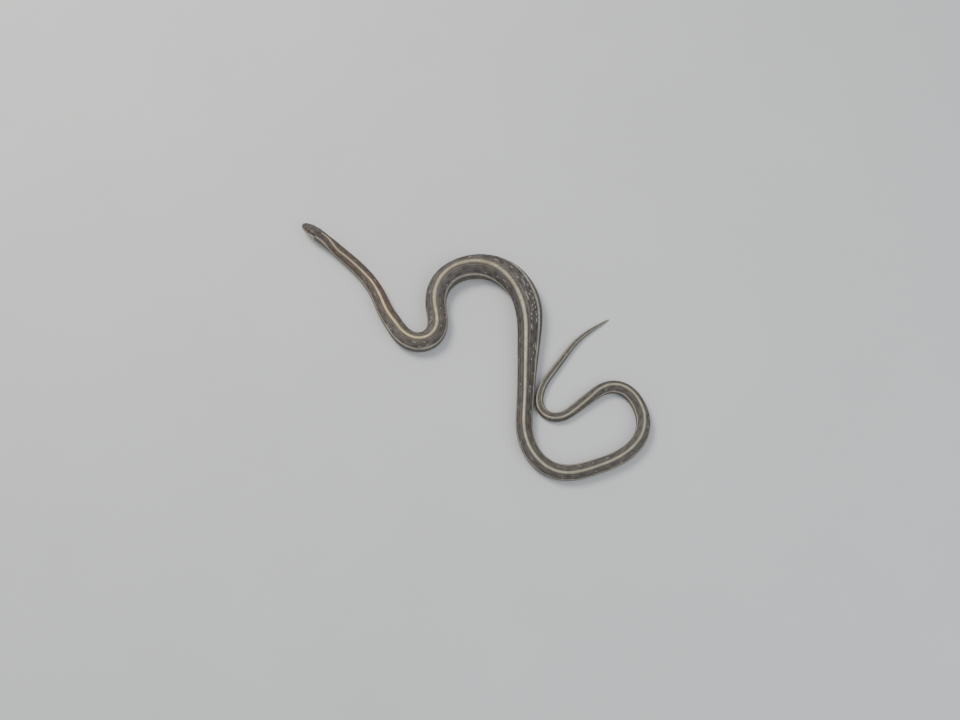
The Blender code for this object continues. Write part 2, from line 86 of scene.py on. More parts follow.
# Half the body's width at lengths along the back
HALF_WIDTHS = {
    20: 4.75, 27: 4.45, 44: 4.75, 74: 5.35, 114: 6.57, 132: 7.05, 157: 7.32, 202: 8.72,
    242: 9.55, 259: 9.5, 282: 8.3, 312: 6.62, 330: 6, 347: 5.8, 397: 5.45, 437: 5.03,
    490: 4.72, 517: 3.97, 557: 3.1, 594: 2.5, 619: 1.85, 635: 1.15, 642: 0.72, 645: 0.3,
}
ROUNDNESS = 0.88
SPREAD_ROUNDNESS = 0.76
SPREAD_MIDDLE = 252.0
SPREAD_REACH = 75.0
WIDEST_LEVEL = 0.45
ROUND_POWER = 2.0
BELLY_POWER = 2.9
BELLY_PRESS = 0.035
NAPE = 12.0
# At lengths from the snout: half width, top, underside, widest level, upper and lower power
HEAD_SECTIONS = {
    0.10: (0.80, 3.70, 2.15, 2.90, 2.0, 2.0),
    0.45: (1.60, 4.45, 1.60, 2.90, 2.1, 2.0),
    1.20: (2.30, 5.05, 1.10, 2.85, 2.3, 2.1),
    2.50: (2.95, 5.55, 0.70, 2.85, 2.6, 2.2),
    4.20: (3.45, 6.00, 0.42, 2.90, 2.8, 2.3),
    6.50: (3.95, 6.60, 0.25, 3.00, 2.8, 2.4),
    9.00: (4.45, 7.00, 0.12, 3.10, 2.7, 2.5),
    12.5: (5.00, 7.25, 0.04, 3.20, 2.5, 2.6),
    16.0: (5.15, 7.35, 0.02, 3.25, 2.3, 2.7),
    20.0: (4.75, 7.40, 0.00, 3.30, 2.1, 2.8),
}
SNOUT_START = 0.10
SNOUT_LEVEL = 2.9
# Places on the head's side: back from the snout, and up from the chin
EYE_AT = (6.90, 4.35)
EYE_RADIUS = 1.55
EYE_DEPTH = 1.0
EYE_PROUD = 0.42
NOSTRIL_AT = (1.95, 4.10)
MOUTH_LINE = {0: 2.05, 1: 1.95, 3: 1.8, 6.5: 1.7, 10: 1.85, 13: 2.3, 15.5: 2.75}
LIP_TOP = {0.8: 3.05, 3: 3.1, 5.2: 3.25, 8.4: 3.2, 9.8: 3.6, 12.4: 4.3, 14.8: 4.2}
LIP_FOOT = {0.85: 1.6, 1.9: 1.15, 3: 0.95, 6.5: 0.75, 10: 0.85, 14: 1.25}
UPPER_LIP_ENDS = (0.5, 2, 3.2, 4.6, 6.6, 8.5, 10.4, 12.6, 14.8)
LOWER_LIP_ENDS = (0.6, 1.9, 3.1, 4.5, 6.2, 8.2, 10.2, 12.2, 14)
# Corners of the crown's shields: back from the snout, and to the side
CROWN = {
    "a0": (1, 0), "a1": (1.35, 1.15), "a2": (2.1, 1.95), "b0": (2.65, 0), "b1": (2.75, 1.75),
    "c1": (3.9, 2.55), "c2": (4.9, 2.75), "d0": (5, 0), "d1": (5.15, 1.55), "e1": (6.8, 3.35),
    "e2": (8.6, 3), "f1": (8.7, 1.25), "f0": (9.9, 0), "g1": (9.05, 2.6), "h1": (11, 3.35),
    "h2": (14, 2.6), "h3": (15.6, 1.1), "h0": (15.3, 0),
}
CROWN_SHIELDS = ("a0 a1 a2 b1 b0", "b0 b1 c1 c2 d1 d0", "d1 c2 e1 e2 g1 f1", "f0 f1 g1 h1 h2 h3 h0")
FRONTAL = ((5, 0), (5.15, 1.55), (8.7, 1.25), (9.9, 0), (8.7, -1.25), (5.15, -1.55))
# Shields of the cheek, as seen from the side
CHEEK_SHIELDS = (
    ((0.45, 3.05), (0.95, 4.4), (2.4, 4.85), (3.05, 4.8), (3, 3.1)),
    ((3, 3.1), (3.05, 4.8), (4.1, 4.95), (4.1, 3.2)),
    ((4.1, 3.2), (4.1, 4.95), (4.9, 5.75), (5.45, 5.65), (5, 4.4), (5.2, 3.3)),
    ((8.85, 4.75), (8.45, 5.45), (8.8, 6.05), (9.6, 6.2), (9.6, 4.85)),
    ((8.85, 3.95), (8.85, 4.75), (9.6, 4.85), (9.6, 3.95)),
    ((8.45, 3.25), (8.85, 3.95), (9.6, 3.95), (9.8, 3.6)),
    ((9.6, 3.95), (9.6, 6.2), (12.4, 6.4), (12.4, 4.45), (10.4, 3.9)),
    ((12.4, 5.05), (12.4, 6.4), (14.4, 6.65), (15, 5.05)),
    ((12.4, 4.3), (12.4, 5.05), (14.9, 5.05), (15.2, 4.3)),
)
ROSTRAL = ((-1.2, 2.2), (-1.42, 3.05), (-0.95, 4.15), (0, 4.5), (0.95, 4.15), (1.42, 3.05), (1.2, 2.2),
           (0, 2.4))
MENTAL = ((-0.9, 1.8), (0, 1.9), (0.9, 1.8), (0.65, 1.35), (0, 1.15), (-0.65, 1.35))
CHIN_SHIELDS = (
    ((2.4, 0.06), (2.4, 1.1), (5.4, 1.5), (5.8, 0.06)),
    ((5.8, 0.06), (5.4, 1.5), (9.5, 1.9), (9.9, 0.3)),
)

# ---- The scaling of the body, counted from the photo's kind of snake ----
# The belly's scutes reach up to this angle round from the back
SCUTE_EDGE = 118.0
# Length of one ring of scales along the body
PITCH = {
    6: 1.1, 20: 1.5, 60: 2.2, 120: 2.75, 200: 3.25, 300: 3.25, 397: 3, 487: 2.75,
    497: 2.4, 557: 2.2, 607: 1.9, 645: 1.5,
}
# Rows of keeled scales between the two ends of a belly scute
ROWS = {
    6: 21, 30: 19, 287: 19, 302: 17, 477: 17, 495: 15.6, 527: 12.6, 557: 10.6,
    592: 8.6, 619: 6.6, 637: 5, 645: 4,
}
# How far the animal lies rolled to its left, in degrees, as its stripes show
ROLL = {
    0: 0, 16: 0, 32: 13, 44: 8, 58: 4, 72: -6, 84: -6, 96: -3, 108: -7,
    120: -9, 132: -5, 144: -2, 156: -5, 180: -11, 192: -14, 204: -10, 216: -1,
    228: 13, 240: 24, 252: 28, 264: 25, 278: 20, 306: 13, 334: 5, 360: 4,
    372: 5, 384: 11, 396: 15, 408: 14, 422: 10, 436: 5, 448: 2, 460: 4,
    472: 12, 496: 10, 508: 3, 520: -13, 532: -22, 544: -25, 556: -37,
    568: -42, 582: -43, 645: -42,
}
# How far inside the solids the middle of a scale and the skin lie, where a row has its usual width
COAT = 0.24
SKIN_DEPTH = 0.40
USUAL_WIDTH = 1.45
# Where the coat starts behind the head's shields, and the length over which it reaches its depth
COAT_START = 12.0
COAT_GROWTH = 3.2
# Half the width of the pale stripe along the back
STRIPE_HALF = {
    14: 0.4, 22: 0.62, 60: 0.62, 82: 0.78, 150: 0.86, 185: 1.02, 250: 1.12, 285: 1,
    312: 0.84, 360: 0.78, 490: 0.76, 557: 0.66, 607: 0.5, 645: 0.25,
}
# Where the side's pale stripe runs, as a share of the way from the back to the belly's scutes, and half
# its width
SIDE_STRIPE = 0.608
SIDE_HALF = {
    14: 0.55, 24: 0.85, 157: 0.85, 252: 0.9, 397: 0.75, 490: 0.65, 557: 0.5, 645: 0.25,
}

rng = np.random.default_rng(19)


def smoothstep(value):
    value = np.clip(value, 0, 1)
    return value * value * (3 - 2 * value)


def running(steps):
    """The sum before each step and after the last one, along the last axis."""
    total = np.cumsum(steps, axis=-1)
    return np.concatenate([np.zeros(total.shape[:-1] + (1,)), total], axis=-1)


def ramp(value, start, length):
    """A smooth step that leaves 0 at the start and reaches 1 a length further on."""
    return smoothstep((value - start) / length)


def bell(value, middle, reach):
    """A rounded peak of 1 at the middle, down to about a third at its reach."""
    return np.exp(-((value - middle) / reach) ** 2)


def within(distance, half, soft):
    """1 inside a band and 0 outside it, over a soft edge."""
    return 1 - smoothstep((distance - half) / soft + 0.5)


def through(table, at):
    """A smooth curve through the table's values, with no overshoot: one column for each value."""
    keys = np.array(list(table))
    values = np.array([np.atleast_1d(row) for row in table.values()], dtype=float)
    slopes = np.diff(values, axis=0) / np.diff(keys)[:, None]
    tangents = np.zeros_like(values)
    tangents[0] = slopes[0]
    tangents[-1] = slopes[-1]
    same_way = slopes[:-1] * slopes[1:] > 0
    total = np.where(same_way, slopes[:-1] + slopes[1:], 1)
    tangents[1:-1] = np.where(same_way, 2 * slopes[:-1] * slopes[1:] / total, 0)
    at = np.clip(np.asarray(at, dtype=float), keys[0], keys[-1])
    i = np.clip(np.searchsorted(keys, at) - 1, 0, len(keys) - 2)
    step = (keys[i + 1] - keys[i])[..., None]
    t = (at - keys[i])[..., None] / step
    start = (1 + 2 * t) * (1 - t) ** 2 * values[i] + t * (1 - t) ** 2 * step * tangents[i]
    end = t * t * (3 - 2 * t) * values[i + 1] - t * t * (1 - t) * step * tangents[i + 1]
    return start + end


def curve(table, at):
    return through(table, at)[..., 0]


def heading_at(s):
    heading = FIRST_HEADING
    for middle, length, turn in BENDS:
        heading = heading + turn * ramp(s, middle - length / 2, length)
    return np.radians(heading)


LINE_STEP = 0.25
LINE_S = np.arange(0.0, LENGTH + LINE_STEP, LINE_STEP)
LINE_WAY = heading_at(LINE_S[:-1] + LINE_STEP / 2.0)
LINE_X = SNOUT[0] + running(np.cos(LINE_WAY) * LINE_STEP)
LINE_Y = SNOUT[1] + running(np.sin(LINE_WAY) * LINE_STEP)


def section_at(s):
    """Half width, top, underside, widest level and the two powers of the section at each s."""
    s = np.asarray(s, dtype=float)
    head = through(HEAD_SECTIONS, s)
    cap = np.sqrt(np.clip(s / SNOUT_START, 0, 1))
    head[..., 0] *= cap
    for column in (1, 2):
        head[..., column] = SNOUT_LEVEL + (head[..., column] - SNOUT_LEVEL) * cap
    half = curve(HALF_WIDTHS, s)
    spread = bell(s, SPREAD_MIDDLE, SPREAD_REACH)
    tall = 2 * half * (ROUNDNESS + (SPREAD_ROUNDNESS - ROUNDNESS) * spread)
    behind_head = ramp(s, HEAD_END, NAPE)
    tall = HEAD_SECTIONS[HEAD_END][1] * (1 - behind_head) + tall * behind_head
    none = np.zeros_like(s)
    body = np.stack([half, tall, none, WIDEST_LEVEL * tall, none + ROUND_POWER, none + BELLY_POWER], -1)
    return np.where((s < HEAD_END)[..., None], head, body)


def section_point(section, angle):
    """Sideways, up and the outward direction, at an angle from the back over the left flank."""
    half, top, low, widest, upper, lower = np.moveaxis(section, -1, 0)
    across, up = np.sin(angle), np.cos(angle)
    power = np.where(up > 0, upper, lower)
    reach = np.where(up > 0, top - widest, widest - low)
    side = half * np.sign(across) * np.abs(across) ** (2 / power)
    height = widest + reach * np.sign(up) * np.abs(up) ** (2 / power) - BELLY_PRESS * (top - low)
    out_side = np.sign(across) * np.abs(across) ** (2 - 2 / power) / np.maximum(half, 1e-6)
    out_up = np.sign(up) * np.abs(up) ** (2 - 2 / power) / np.maximum(reach, 1e-6)
    flat = height < low
    out_side = np.where(flat, 0, out_side)
    out_up = np.where(flat, -1, out_up)
    size = np.hypot(out_side, out_up)
    return side, np.maximum(height, low), out_side / size, out_up / size


def head_roll(s):
    return np.radians(HEAD_ROLL) * (1 - ramp(s, ROLL_FROM, ROLL_TO - ROLL_FROM))


def turned(side, up, angle):
    """A direction to the left and up, carried round by a roll to the left."""
    return side * np.cos(angle) + up * np.sin(angle), up * np.cos(angle) - side * np.sin(angle)


def rolled(side, height, angle):
    """A place to the left and up from the floor, carried round the level of the roll."""
    side, up = turned(side, height - ROLL_LEVEL, angle)
    return side, up + ROLL_LEVEL


def place(s, side, height):
    """Points of the frame, from a length along the back, a distance to the left and a height."""
    way = heading_at(s)
    side, height = rolled(side, height, head_roll(s))
    x = np.interp(s, LINE_S, LINE_X) + np.sin(way) * side
    y = np.interp(s, LINE_S, LINE_Y) - np.cos(way) * side
    lift = HEAD_LIFT * (1 - ramp(s, LIFT_FROM, LIFT_TO - LIFT_FROM))
    return np.stack([x, y, height + lift], -1)


def surface(s, angle, out=0.0):
    """Points at a distance out of the plain body, with their outward directions."""
    s, angle = np.broadcast_arrays(np.asarray(s, dtype=float), np.asarray(angle, dtype=float))
    side, height, out_side, out_up = section_point(section_at(s), angle)
    point = place(s, side, height)
    step = np.clip(s * 0.2, 0.002, 0.15)
    ends = (np.clip(s - step, 0, LENGTH), np.clip(s + step, 0, LENGTH))
    before, after = (place(end, *section_point(section_at(end), angle)[:2]) for end in ends)
    way = heading_at(s)
    out_side, out_up = turned(out_side, out_up, head_roll(s))
    around = np.stack([-out_up * np.sin(way), out_up * np.cos(way), out_side], -1)
    normal = np.cross(after - before, around)
    normal /= np.maximum(np.linalg.norm(normal, axis=-1, keepdims=True), 1e-9)
    return point + normal * np.asarray(out)[..., None], normal


# ---- Arcs round the body: the share of the way from the back to the belly's middle ----
ARC_S = np.arange(0.0, LENGTH + 1.0, 1.0)
ARC_ANGLE = np.linspace(0.0, np.pi, 241)
SHARES = np.linspace(0.0, 1.0, 161)


def make_arcs():
    s, angle = np.meshgrid(np.maximum(ARC_S, 0.3), ARC_ANGLE, indexing="ij")
    side, height, _, _ = section_point(section_at(s), angle)
    lengths = running(np.hypot(np.diff(side), np.diff(height)))
    total = lengths[:, -1]
    share = lengths / total[:, None]
    angles = np.array([np.interp(SHARES, row, ARC_ANGLE) for row in share])
    return total, share, angles


ARC_TOTAL, SHARE_OF_ANGLE, ANGLE_OF_SHARE = make_arcs()


def grid_value(grid, s, column, columns):
    """A value of a table by length and by an evenly spaced second coordinate."""
    row = np.clip(s, 0, LENGTH - 1e-6)
    i = np.minimum(row.astype(int), len(grid) - 2)
    place_in = np.clip(column / columns[-1], 0, 1) * (len(columns) - 1)
    j = np.minimum(place_in.astype(int), len(columns) - 2)
    a, b = row - i, place_in - j
    front = grid[i, j] * (1 - b) + grid[i, j + 1] * b
    back = grid[i + 1, j] * (1 - b) + grid[i + 1, j + 1] * b
    return front * (1 - a) + back * a


def angle_of_share(s, share):
    """The angle round the body for a share from -1 to 1, before the roll."""
    s, share = np.broadcast_arrays(np.asarray(s, dtype=float), np.asarray(share, dtype=float))
    return np.sign(share) * grid_value(ANGLE_OF_SHARE, s, np.abs(share), SHARES)


def share_of_angle(s, angle):
    """The share round the body, 0 to 1, for an angle of either side, before the roll."""
    from_back = np.abs((angle + np.pi) % (2 * np.pi) - np.pi)
    return grid_value(SHARE_OF_ANGLE, np.asarray(s, dtype=float), from_back, ARC_ANGLE)


EDGE_SHARE = share_of_angle(ARC_S, np.full(len(ARC_S), np.radians(SCUTE_EDGE)))
HALF_BAND = EDGE_SHARE * ARC_TOTAL


def edge_share(s):
    return np.interp(s, ARC_S, EDGE_SHARE)


def half_band(s):
    """The arc from the back's middle to the belly's scutes."""
    return np.interp(s, ARC_S, HALF_BAND)


def row_width(s):
    return 2 * half_band(s) / curve(ROWS, s)


def relief(s):
    """How deep the coat is, as a share of its usual depth."""
    narrow = np.clip(row_width(s) / USUAL_WIDTH, 0.22, 1.1)
    slender = np.clip(0.30 + 0.17 * curve(HALF_WIDTHS, s), 0, 1)
    return narrow * slender * np.clip((LENGTH + 2 - s) / 12, 0.3, 1)


def coat(s, depth):
    """A depth of the coat, which comes to nothing under the head's shields."""
    return depth * relief(s) * ramp(s, COAT_START, COAT_GROWTH)


def roll(s):
    return np.radians(curve(ROLL, s))


COUNT_S = np.arange(6.0, LENGTH + 0.5, 0.5)
COUNT = running(0.5 / curve(PITCH, COUNT_S[:-1] + 0.25))


def ring_place(number):
    """The length along the back of a ring of scales, by its number."""
    return np.interp(number, COUNT, COUNT_S)


# ---- Markings: one function of place colours the skin and every scale ----
def srgb(red, green, blue):
    value = np.array([red, green, blue]) / 255.0
    return np.where(value <= 0.04045, value / 12.92, ((value + 0.055) / 1.055) ** 2.4)


GROUND_NAPE = srgb(78, 68, 62)
# The ground behind the nape: each colour, where it starts and the length over which it takes over
GROUNDS = (
    (srgb(97, 83, 70), 15, 22), (srgb(104, 96, 86), 75, 40),
    (srgb(88, 81, 74), 217, 60), (srgb(101, 94, 85), 335, 45),
)
# The pale stripe along the back: warm and bright on the neck, duller on the arch, grey towards the tail
STRIPE_AT = (20.0, 33.0, 55.0, 90.0, 145.0, 215.0, 290.0, 415.0, 600.0, 640.0)
STRIPE_COLOURS = np.stack([
    srgb(192, 172, 145), srgb(165, 153, 126), srgb(190, 174, 140), srgb(230, 201, 140), srgb(210, 190, 154),
    srgb(172, 160, 130), srgb(208, 198, 172), srgb(180, 171, 145), srgb(180, 171, 147), srgb(140, 132, 112),
])
SIDE_COLOUR = srgb(171, 162, 145)
FLANK = srgb(98, 94, 84)
BELLY = srgb(160, 164, 152)
BELLY_DARK = srgb(112, 116, 110)
FLECK = srgb(214, 212, 202)
BARE_SKIN = srgb(150, 150, 142)
SPREAD_SLATE = srgb(86, 82, 80)
# Two rows of dark spots in turn between the stripes: each row's place across and its phase
SPOT = srgb(44, 40, 37)
SPOT_ROWS = ((0.27, 0.0), (0.48, 0.5))
SPOT_HALF = 0.085
RINGS_A_SPOT = 3.6
# Soft edges of the stripes
STRIPE_SOFT = 0.22
SIDE_SOFT = 0.35
# Where a marking starts, and how far on it is whole: lengths, and for the belly's edge a share
STRIPE_START = (14.5, 3)
BELLY_DARKENS = (300, 250)
BELLY_EDGE = (0.96, 0.08)
# Middle and reach of the lengths with slate flanks, with bare skin between the scales and with most flecks
SLATE_AT = (222, 70)
BARE_AT = (255, 34)
FLECKS_ON_ARCH = (257, 27)
FLECKS_ON_HAIRPIN = (130, 30)


def blend(first, second, amount):
    return first * (1 - amount[..., None]) + second * amount[..., None]


def marking(s, share):
    """The colour at a length and at a signed share of the way round from the back to the belly."""
    across = np.abs(share) / edge_share(s)
    arc = across * half_band(s)
    colour = GROUND_NAPE
    for ground, start, length in GROUNDS:
        colour = blend(colour, ground, ramp(s, start, length))
    slate = bell(s, *SLATE_AT) * ramp(across, 0.1, 0.3)
    colour = blend(colour, SPREAD_SLATE, 0.6 * slate)
    ring_number = np.interp(s, COUNT_S, COUNT)
    for row, phase in SPOT_ROWS:
        beat = np.cos(2 * np.pi * (ring_number / RINGS_A_SPOT + phase + 0.25 * np.sin(s * 0.11)))
        colour = blend(colour, SPOT, 0.5 * (smoothstep(beat / 0.8) * bell(across, row, SPOT_HALF)))
    colour = blend(colour, FLANK, ramp(across - SIDE_STRIPE, 0.05, 0.12))
    off_side = np.abs(across - SIDE_STRIPE) * half_band(s)
    colour = blend(colour, SIDE_COLOUR, 0.9 * within(off_side, curve(SIDE_HALF, s), SIDE_SOFT))
    belly = blend(BELLY, BELLY_DARK, 0.35 + 0.4 * ramp(s, *BELLY_DARKENS))
    colour = blend(colour, belly, ramp(across, *BELLY_EDGE))
    stripe = within(arc, curve(STRIPE_HALF, s), STRIPE_SOFT) * ramp(s, *STRIPE_START)
    stripe_colour = np.stack([np.interp(s, STRIPE_AT, part) for part in STRIPE_COLOURS.T], axis=-1)
    return blend(colour, stripe_colour, stripe)


# ---- Meshes ----
def put(items, attribute, values, kind=np.float32):
    items.foreach_set(attribute, values.astype(kind).ravel())


def take(items, attribute):
    values = np.zeros(len(items), dtype=np.int32)
    items.foreach_get(attribute, values)
    return values


def make_object(name, points, quads, triangles, colours, corner_uv, sharp=None):
    """A mesh object from arrays. Points are in millimetres, and corner_uv has a row for each face corner."""
    data = bpy.data.meshes.new(name)
    corners = np.concatenate([quads.ravel(), triangles.ravel()])
    starts = np.concatenate([np.arange(len(quads)) * 4, len(quads) * 4 + np.arange(len(triangles)) * 3])
    data.vertices.add(len(points))
    put(data.vertices, "co", points * MM)
    data.loops.add(len(corners))
    put(data.loops, "vertex_index", corners, np.int32)
    data.polygons.add(len(starts))
    put(data.polygons, "loop_start", starts, np.int32)
    data.update(calc_edges=True)
    own = data.attributes.new("marking", "FLOAT_COLOR", "POINT")
    put(own.data, "color", np.concatenate([colours, np.ones((len(points), 1))], axis=1))
    put(data.uv_layers.new(name="OFBake").uv, "vector", corner_uv)
    data.shade_smooth()
    if sharp is not None:
        data.set_sharp_from_angle(angle=np.radians(sharp))
    made = bpy.data.objects.new(name, data)
    bpy.context.scene.collection.objects.link(made)
    return made


def grid_faces(rows, columns):
    """Quads of a grid of points numbered row by row."""
    first = (np.arange(rows - 1)[:, None] * columns + np.arange(columns - 1)[None, :]).ravel()
    return np.stack([first, first + 1, first + columns + 1, first + columns], axis=1)


# How far a plate's rim is drawn in underneath, and how deep the middle of its underside is, in rims
RIM_INSET = 0.06
UNDER_MIDDLE = 1.4
# A plate's size on the unwrap
PATCH = 0.003
# Edges of a plate that turn by more than this many degrees are drawn sharp
PLATE_CREASE = 62.0


class Plate:
    """The template of one scale: a domed sheet with a rim turned down and a closed underside."""

    def __init__(self, across, rows, widths, round_off, round_power):
        t, v = np.meshgrid(np.linspace(0.0, 1.0, rows), np.array(across), indexing="ij")
        self.along = (t * (1 - round_off * np.abs(v) ** round_power)).ravel()
        self.across = (v * curve(widths, t)).ravel()
        self.v, self.t = v.ravel(), t.ravel()
        number = np.arange(t.size).reshape(t.shape)
        border = np.concatenate([number[0], number[1:, -1], number[-1, -2::-1], number[-2:0:-1, 0]])
        rim = t.size + np.arange(len(border))
        after = np.roll(np.arange(len(border)), -1)
        self.quads = np.concatenate([
            grid_faces(*t.shape),
            np.stack([border[after], border, rim, rim[after]], axis=1),
        ])
        middle = t.size + len(border)
        self.triangles = np.stack([rim[after], rim, np.full(len(border), middle)], axis=1)
        self.under = np.concatenate([np.zeros(t.size), np.ones(len(border)), [UNDER_MIDDLE]])
        for name, value in (("along", 0.5), ("across", 0), ("v", 0), ("t", 0.5)):
            values = getattr(self, name)
            drawn_in = values[border] * (1 - RIM_INSET) + value * RIM_INSET
            setattr(self, name, np.concatenate([values, drawn_in, [value]]))


def strip_u(root, first, last):
    """How far along its strip of the unwrap a plate is rooted."""
    return 0.02 + 0.96 * (root - first) / (last - first)


def patch_uv(plate, root_u, root_v):
    """Each plate's corners on the unwrap: a patch at its root."""
    u = root_u[:, None] + (plate.across[None, :] * 0.5) * PATCH
    v = root_v[:, None] + (plate.along[None, :] - 0.5) * PATCH
    return np.concatenate([
        np.stack([u[:, faces], v[:, faces]], -1).reshape(-1, 2) for faces in (plate.quads, plate.triangles)
    ])


def repeat_faces(faces, count, size):
    return (faces[None] + (np.arange(count) * size)[:, None, None]).reshape(-1, faces.shape[1])


def make_plates(name, plate, s, angle, out, colours, root_u, root_v):
    """One joined mesh of plates: arrays with a row for each plate and a column for each point."""
    points, _ = surface(s, angle, out)
    faces = [repeat_faces(kind, *s.shape) for kind in (plate.quads, plate.triangles)]
    uv = patch_uv(plate, root_u, root_v)
    return make_object(name, points.reshape(-1, 3), *faces, colours.reshape(-1, 3), uv, PLATE_CREASE)


# ---- Keeled scales ----
SCALE = Plate(
    across=(-1, -0.74, -0.42, -0.15, 0, 0.15, 0.42, 0.74, 1), rows=9,
    widths={0: 0.55, 0.3: 0.95, 0.5: 1, 0.75: 0.90, 1: 0.62}, round_off=0.40, round_power=1.9,
)
# A scale's length in pitches and half its width in rows
SCALE_LENGTH = 1.52
SCALE_HALF = 0.60
# Its relief where the coat has its usual depth: how far its root sinks and its hind edge rises, how far
# its sides fall away, and its keel
SCALE_SINK = 0.05
SCALE_RISE = 0.20
SCALE_FALL = 0.08
KEEL_HEIGHT = 0.10
KEEL_HALF = 0.13
# How far back from the snout the first scale of a row is rooted, by its share round the body
NAPE_START = {
    0: 15.3, 0.08: 15.4, 0.16: 14.9, 0.24: 14, 0.32: 13.2, 0.42: 14.7, 0.5: 15, 0.62: 15, 0.72: 14.3,
    0.9: 14.3,
}


def body_scales():
    """Row number and root of every keeled scale, with row 0 along the back and the left rows above it."""
    found = []
    for row in range(-11, 12):
        numbers = np.arange(0, int(COUNT[-1]) + 1) + (0.5 if row % 2 else 0.0)
        roots = ring_place(numbers)
        middle = roots + 0.5 * curve(PITCH, roots)
        beside = 2 * row / curve(ROWS, middle)
        share = beside * edge_share(middle)
        foremost = curve(NAPE_START, np.abs(share)) - 0.35 * curve(PITCH, roots)
        keep = (np.abs(beside) < 1) & (roots >= foremost)
        keep &= roots + SCALE_LENGTH * curve(PITCH, roots) < LENGTH + 0.4
        found.append(np.stack([np.full(keep.sum(), float(row)), roots[keep]], axis=1))
    return np.concatenate(found)


def flecks(row, root, s, share):
    """White flecks at the sides of a scale, where the skin shows between the rows."""
    each = (len(row), 1)
    across = np.abs(share) / edge_share(s)
    spread = bell(root, *FLECKS_ON_ARCH) * np.where(row < 0, 0.70, 0.36)
    chance = 0.07 * ramp(root, 30, 60) + spread + 0.16 * bell(root, *FLECKS_ON_HAIRPIN)
    on_flank = ramp(across, 0.16, 0.1) * (1 - ramp(across, 0.60, 0.1))
    drawn = rng.uniform(0, 1, each) < chance
    which = np.sign(rng.uniform(-1, 1, each))
    return drawn * on_flank * ramp(SCALE.v * which, 0.40, 0.3) * bell(SCALE.t, 0.58, 0.20)


def make_scales(name, chosen, first, last):
    row, root = chosen[:, 0:1], chosen[:, 1:2]
    plate, count = SCALE, len(chosen)
    length = SCALE_LENGTH * curve(PITCH, root)
    s = root + length * plate.along
    edge_row = smoothstep(np.abs(2 * row / curve(ROWS, root + length * 0.4)) * 6 - 4.8)
    half = SCALE_HALF * (1 + 0.22 * edge_row) * rng.uniform(0.97, 1.03, (count, 1))
    share = 2 * (row + plate.across * half) / curve(ROWS, s) * edge_share(s)
    keel = bell(plate.v, 0, KEEL_HALF) * ramp(plate.t, 0.08, 0.2)
    keel *= 1 - 0.35 * ramp(plate.t, 0.9, 0.1)
    rise = SCALE_RISE + rng.uniform(-0.02, 0.02, (count, 1))
    height = -SCALE_SINK + rise * plate.along - SCALE_FALL * plate.v ** 2
    height = height + KEEL_HEIGHT * keel * (1 - 0.6 * edge_row)
    height = height - (0.09 + 0.04 * plate.t) * plate.under
    out = relief(s) * height - coat(s, COAT)

    tone = rng.uniform(0.86, 1.14, (count, 1, 1))
    warm = rng.uniform(-0.04, 0.04, (count, 1, 1)) * np.array([1.0, 0.0, -1.0])
    # Painted shade over each scale's sides and hind tip, where it turns down, and over its root, where it
    # lies under the scales in front; a painted highlight runs along its keel
    painted_rim_shade = 1 - 0.32 * ramp(np.abs(plate.v), 0.72, 0.28) - 0.10 * ramp(plate.t, 0.9, 0.1)
    painted_root_shade = 1 - 0.25 * (1 - smoothstep(plate.t / 0.35))
    light = (1 + 0.10 * keel) * painted_rim_shade * painted_root_shade
    colours = marking(s, share) * (tone + warm) * light[:, None]
    colours = blend(colours, FLECK, flecks(row, root, s, share))

    root_v = 0.5 + 0.46 * np.clip(2 * row[:, 0] / curve(ROWS, root[:, 0]), -1, 1)
    angle = angle_of_share(s, share) + roll(s)
    return make_plates(name, plate, s, angle, out, colours, strip_u(root[:, 0], first, last), root_v)


SCALE_PIECES = {
    "scales_nape": (6, 75), "scales_neck": (75, 165), "scales_arch": (165, 260),
    "scales_middle": (260, 350), "scales_bend": (350, 425), "scales_rear": (425, VENT),
    "scales_tail": (VENT, 650),
}

# ---- Belly scutes ----
SCUTE = Plate(
    across=np.sin(np.linspace(-0.5, 0.5, 27) * np.pi * 0.86) / np.sin(0.43 * np.pi), rows=6,
    widths={0: 0.97, 0.4: 1, 1: 0.98}, round_off=0.30, round_power=6,
)
PAIR = Plate(
    across=np.linspace(-1, 1, 13), rows=6,
    widths={0: 0.97, 0.4: 1, 1: 0.98}, round_off=0.34, round_power=4,
)
SCUTE_LENGTH = 1.34
SCUTE_START = 15.0
# The scute over the vent is this much longer than the others
VENT_SCUTE = 1.5
# How far the ends of a scute reach under the lowest row of keeled scales, as a share of the way round
SHARE_MARGIN = 0.02


def scute_colours(s, share, v, t, count):
    colours = marking(s, share) * rng.uniform(0.93, 1.07, (count, 1, 1))
    dark_end = 0.45 * ramp(np.abs(v), 0.80, 0.12) * (rng.uniform(0, 1, (count, 1)) < 0.55)
    dark_end = dark_end * (1 - ramp(t, 0.45, 0.3))
    pale_edge = 1 + 0.14 * ramp(t, 0.82, 0.18)
    return colours * (1 - dark_end[..., None]) * pale_edge[:, None]


